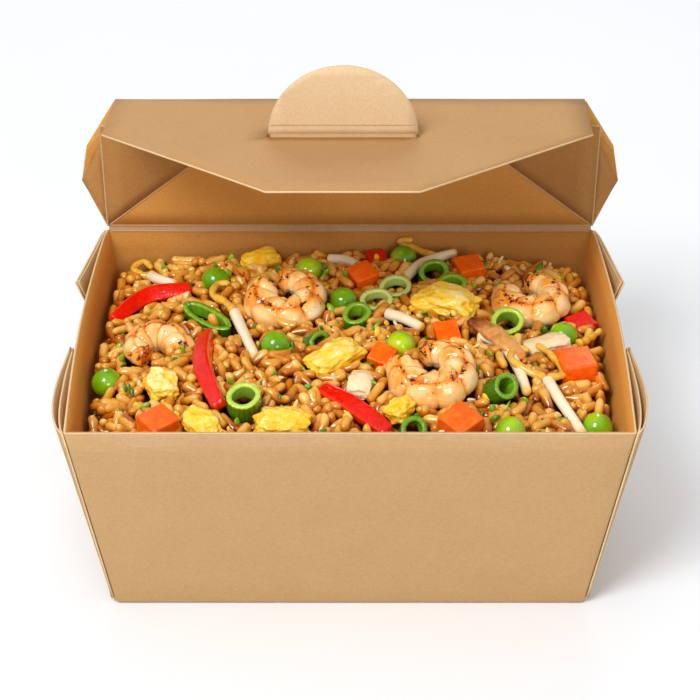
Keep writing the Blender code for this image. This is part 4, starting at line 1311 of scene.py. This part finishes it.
def heap_height(x, y):
    """The dome with the small hills and hollows of loose rice."""
    return dome_height(x, y) + HEAP_WAVE * noise.noise(Vector((x, y, 0.01)) / (8.5 * MM))


target = np.array([[heap_height(x, y) for x in cell_x[::3]] for y in cell_y[::3]])
target = np.kron(target, np.ones((3, 3)))[:rows, :columns]
level = target - BED_DROP
taken = np.zeros((rows, columns), dtype=bool)
bpy.context.view_layer.update()
depsgraph = bpy.context.evaluated_depsgraph_get()
for piece in food_pieces:
    evaluated = piece.evaluated_get(depsgraph)
    count = len(evaluated.data.vertices)
    points = np.empty(count * 3)
    evaluated.data.vertices.foreach_get("co", points)
    points = points.reshape(count, 3)
    i = np.clip(((points[:, 0] + RIM_HALF_X) / CELL).astype(int), 0, columns - 1)
    j = np.clip(((points[:, 1] + RIM_HALF_Y) / CELL).astype(int), 0, rows - 1)
    np.maximum.at(level, (j, i), points[:, 2])
    above = points[:, 2] > target[j, i] + 0.2 * MM
    taken[j[above], i[above]] = True


def cell_column(x):
    return int((x + RIM_HALF_X) / CELL)


def cell_row(y):
    return int((y + RIM_HALF_Y) / CELL)


def end_level(x, y):
    """The level of the rice at a place, away from the toppings where there is such a cell."""
    i, j = cell_column(x), cell_row(y)
    near = slice(max(0, j - 1), j + 2), slice(max(0, i - 1), i + 2)
    free = level[near][~taken[near]]
    return float(free.mean()) if free.size else float(level[near].mean())


def drawn_grain(draw):
    """A grain at a chance place, led by how far the heap is short there, or nothing."""
    x = draw.uniform(-0.985, 0.985) * RIM_HALF_X
    y = draw.uniform(-0.985, 0.985) * RIM_HALF_Y
    yaw = draw.uniform(0.0, 2 * math.pi)
    length = GRAIN_LENGTH * draw.uniform(0.80, 1.14)
    width = GRAIN_WIDTH * draw.uniform(0.90, 1.12)
    steep = draw.random() < STEEP_SHARE
    lift = draw.uniform(0.5, 1.1) if steep else draw.uniform(-0.4, 0.4)
    z = dome_height(x, y)
    flat = length * math.cos(lift)
    reach_x = abs(math.cos(yaw)) * flat / 2 + abs(math.sin(yaw)) * width / 2
    reach_y = abs(math.sin(yaw)) * flat / 2 + abs(math.cos(yaw)) * width / 2
    room_x = half_width(z - ROOM_DEPTH) - WALL_GAP + side_bow(y, z) - reach_x
    room_y = half_depth(z - ROOM_DEPTH) - WALL_GAP - reach_y
    i, j = cell_column(x), cell_row(y)
    if abs(x) > room_x or abs(y) > room_y or taken[j, i]:
        return None
    short = target[j, i] + FULL_LEVEL - level[j, i]
    return short, x, y, yaw, length, width, lift, steep


def rest_grain(x, y, yaw, length, width, lift, steep):
    """The height and pitch at which a grain rests on what lies below, or nothing."""
    dx, dy = math.cos(yaw), math.sin(yaw)
    flat = length * math.cos(lift)
    steps = np.linspace(-0.46, 0.46, 9) * flat
    along_i = ((x + dx * steps + RIM_HALF_X) / CELL).astype(int)
    along_j = ((y + dy * steps + RIM_HALF_Y) / CELL).astype(int)
    if taken[along_j, along_i].mean() > TAKEN_MOST:
        return None
    reach = REST_SHARE * flat
    low = end_level(x - dx * reach, y - dy * reach)
    high = end_level(x + dx * reach, y + dy * reach)
    pitch = max(-0.7, min(0.7, math.atan2(high - low, 2 * reach))) + lift
    z = max((low + high) / 2, end_level(x, y) - 0.25 * width) + 0.38 * width
    if steep:
        z = min(low, end_level(x, y)) + 0.28 * width + 0.10 * length * math.sin(lift)
    top = z + 0.5 * (length - width) * abs(math.sin(pitch)) + width / 2
    return None if top > target[cell_row(y), cell_column(x)] + STACK_MOST else (z, pitch)


def raise_level(x, y, z, yaw, pitch, length, width):
    """Raise the height map where the grain now lies."""
    dx, dy = math.cos(yaw), math.sin(yaw)
    reach_cells = int(length / 2 / CELL) + 2
    ci, cj = cell_column(x), cell_row(y)
    i0, i1 = max(0, ci - reach_cells), min(columns, ci + reach_cells + 1)
    j0, j1 = max(0, cj - reach_cells), min(rows, cj + reach_cells + 1)
    gx, gy = np.meshgrid(cell_x[i0:i1] - x, cell_y[j0:j1] - y)
    half = max(width / 2, length / 2 * math.cos(pitch))
    a = (gx * dx + gy * dy) / half
    b = (-gx * dy + gy * dx) / (width / 2)
    top_z = z + a * (length / 2) * math.sin(pitch)
    top_z = top_z + (width / 2) * np.sqrt(np.maximum(0.0, 1.0 - a * a - b * b))
    window = level[j0:j1, i0:i1]
    np.maximum(window, np.where(a * a + b * b < 1.0, top_z, -1.0), out=window)


def lay_grains():
    """Lay grains until the heap is level with the dome, and list their places and shapes."""
    draw = random.Random(GRAIN_SEED)
    laid = []
    misses = 0
    while len(laid) < GRAINS_MOST and misses < MISSES_MOST:
        misses += 1
        best = None
        for _ in range(GRAIN_TRIES):
            grain = drawn_grain(draw)
            if grain and (best is None or grain[0] > best[0]):
                best = grain
        if best is None or best[0] < LEAST_SHORT:
            continue
        rest = rest_grain(*best[1:])
        if rest is None:
            continue
        misses = 0
        _, x, y, yaw, length, width, _, _ = best
        z, pitch = rest
        # Grains lower in the heap are tinted darker and higher ones paler: painted shade and light.
        shade_rise = (z - target[cell_row(y), cell_column(x)]) / SHADE_RISE
        tint = clamp(0.14 + 0.46 * draw.random() + 0.40 * shade_rise)
        laid.append((Vector((x, y, z)), yaw, pitch, length, width, draw.random(), tint))
        raise_level(x, y, z, yaw, pitch, length, width)
    return laid


def grain_pattern(bend, straight, taper):
    """One plump, round-ended grain as vertex places and faces, one unit long."""
    mesh = bmesh.new()
    bmesh.ops.create_uvsphere(mesh, u_segments=10, v_segments=10, radius=1.0)
    for vert in mesh.verts:
        unit = vert.co.normalized()
        t = math.copysign(abs(unit.z) ** 0.6, unit.z)
        past = max(0.0, abs(t) - straight) / (1.0 - straight)
        fat = math.sqrt(max(0.0, 1.0 - past * past)) * (1.0 - taper * t) * (0.93 + 0.07 * t * t)
        flat = math.hypot(unit.x, unit.y) or 1.0
        lump = 1.0 + 0.18 * ripple(unit.x * 1.2, unit.y * 1.2, t * 2.6 + bend * 9)
        vert.co = Vector((t * 0.5, unit.x / flat * fat * 0.5 * lump,
                          unit.y / flat * fat * 0.5 * lump - bend * t * t))
    mesh.verts.index_update()
    places = np.array([vert.co[:] for vert in mesh.verts])
    faces = [[vert.index for vert in face.verts] for face in mesh.faces]
    mesh.free()
    return places, faces


patterns = [grain_pattern(0.12, 0.48, 0.10), grain_pattern(-0.18, 0.56, 0.04),
            grain_pattern(0.26, 0.52, 0.12), grain_pattern(0.04, 0.44, 0.0)]


def joined_piece(name, places, faces, tints, material):
    """One smooth mesh from the places and faces of many small things, each with its tint."""
    data = bpy.data.meshes.new(name)
    data.from_pydata(np.concatenate(places).tolist(), [], faces)
    data.attributes.new("tint", "FLOAT", "POINT").data.foreach_set("value", tints)
    data.materials.append(material)
    data.shade_smooth()
    piece = add_object(name, data)
    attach(piece, "tray")


def join_grains(name, laid, material):
    """Many grains as one mesh, each with its own tint, painted lighter on its crown and darker underneath as
    light and shade, and darker towards its ends.
    """
    places, faces, tints = [], [], []
    start = 0
    for number, (centre, yaw, pitch, length, width, roll, tint) in enumerate(laid):
        shape, loops = patterns[number % len(patterns)]
        turn = Matrix.Rotation(yaw, 3, "Z") @ Matrix.Rotation(-pitch, 3, "Y")
        turn = turn @ Matrix.Rotation(roll * 2 * math.pi, 3, "X")
        size = np.array((length, width, width * 0.94))
        turned = (shape * size) @ np.array(turn).T
        places.append(turned + np.array(centre))
        faces += [[index + start for index in loop] for loop in loops]
        # Painted light and shade: each grain is paler towards its top and darker towards its underside.
        lit_crown = turned[:, 2] / (width / 2) - 0.66
        tints.append(np.clip(tint + 0.50 * lit_crown - 0.20 * np.abs(shape[:, 0]), 0.0, 1.0))
        start += len(shape)
    joined_piece(name, places, faces, np.concatenate(tints), material)


def glazed_rice(name, stops):
    """Rice in one of its browns, glazed and a little see-through."""
    return moist_food(name, stops, scale=560.0, roughness=0.10, scatter=0.30, bump=0.09 * MM,
                      coat=0.7, attribute="tint", scatter_radius=(1.0, 0.5, 0.1),
                      scatter_scale=1.0 * MM, share=0.22, spots=(520.0, 0.72, (0.22, 0.04, 0.003)))


RICE_KINDS = (
    # name, share of the grains, colours from the painted shade of undersides and low grains to the lit crown
    ("golden_grains", 0.50, ((0.10, (0.08, 0.008, 0.001)), (0.34, (0.36, 0.068, 0.001)),
                             (0.64, (0.65, 0.225, 0.007)), (0.92, (0.82, 0.44, 0.07)))),
    ("pale_grains", 0.36, ((0.10, (0.15, 0.020, 0.001)), (0.34, (0.47, 0.120, 0.001)),
                           (0.64, (0.75, 0.340, 0.027)), (0.92, (0.90, 0.57, 0.15)))),
    ("browned_grains", 0.14, ((0.10, (0.05, 0.005, 0.001)), (0.34, (0.24, 0.040, 0.001)),
                              (0.64, (0.48, 0.130, 0.003)), (0.92, (0.66, 0.26, 0.016)))),
)
all_grains = lay_grains()
print("grains laid", len(all_grains))
sorting = random.Random(GRAIN_SEED + 1)
shares = [share for _, share, _ in RICE_KINDS]
kinds = sorting.choices(range(len(RICE_KINDS)), weights=shares, k=len(all_grains))
for kind, (name, _, stops) in enumerate(RICE_KINDS):
    chosen = [grain for grain, pick in zip(all_grains, kinds) if pick == kind]
    join_grains(name, chosen, glazed_rice(f"{name}_glaze", stops))


# Small bits
# Chopped green leaf, crumbs of egg, carrot chips, onion scraps and dark flecks from the pan are
# sprinkled between the toppings. Each kind is one mesh, and each bit rests on the rice below it.
BIT_SEED = 23
BITS = (
    # name, how many, size, slot, material
    ("green_bits", 90, 2.8, "spring_onion", leaf_skin),
    ("egg_crumbs", 34, 2.4, "egg", egg_curd),
    ("carrot_chips", 26, 1.7, "carrot", carrot_flesh),
    ("onion_scraps", 30, 2.3, "pale_onion", pale_flesh),
    # The flecks take the dark rice material, which on the bed is painted shade.
    ("dark_flecks", 60, 0.9, "fried_rice", rice_bed_shade_and_char),
)


def scatter_bits(name, count, size, material, seed):
    """One joined mesh of small torn bits lying on the heap."""
    draw = random.Random(seed)
    mesh = bmesh.new()
    bmesh.ops.create_icosphere(mesh, subdivisions=2, radius=0.5)
    mesh.verts.index_update()
    shape = np.array([vert.co[:] for vert in mesh.verts])
    loops = [[vert.index for vert in face.verts] for face in mesh.faces]
    mesh.free()
    places, faces, tints = [], [], []
    while len(places) < count:
        x = draw.uniform(-0.9, 0.9) * RIM_HALF_X
        y = draw.uniform(-0.88, 0.88) * RIM_HALF_Y
        if taken[cell_row(y), cell_column(x)]:
            continue
        turn = Euler([draw.uniform(0, 6.3) for _ in range(3)]).to_matrix()
        bulk = np.array([draw.uniform(0.7, 1.5), draw.uniform(0.5, 0.9), draw.uniform(0.25, 0.5)])
        rough = 1.0 + 0.30 * np.sin(shape[:, ::-1] * draw.uniform(5.0, 9.0) + draw.random())
        bit = shape * rough * bulk * size * MM
        spot = np.array((x, y, end_level(x, y) + 0.18 * size * MM))
        faces += [[index + len(shape) * len(places) for index in loop] for loop in loops]
        places.append(bit @ np.array(turn).T + spot)
        tints += [draw.uniform(0.05, 0.75)] * len(shape)
    joined_piece(name, places, faces, tints, material)


for number, (name, count, size, slot, material) in enumerate(BITS):
    scatter_bits(name, count, size, material, BIT_SEED + number)
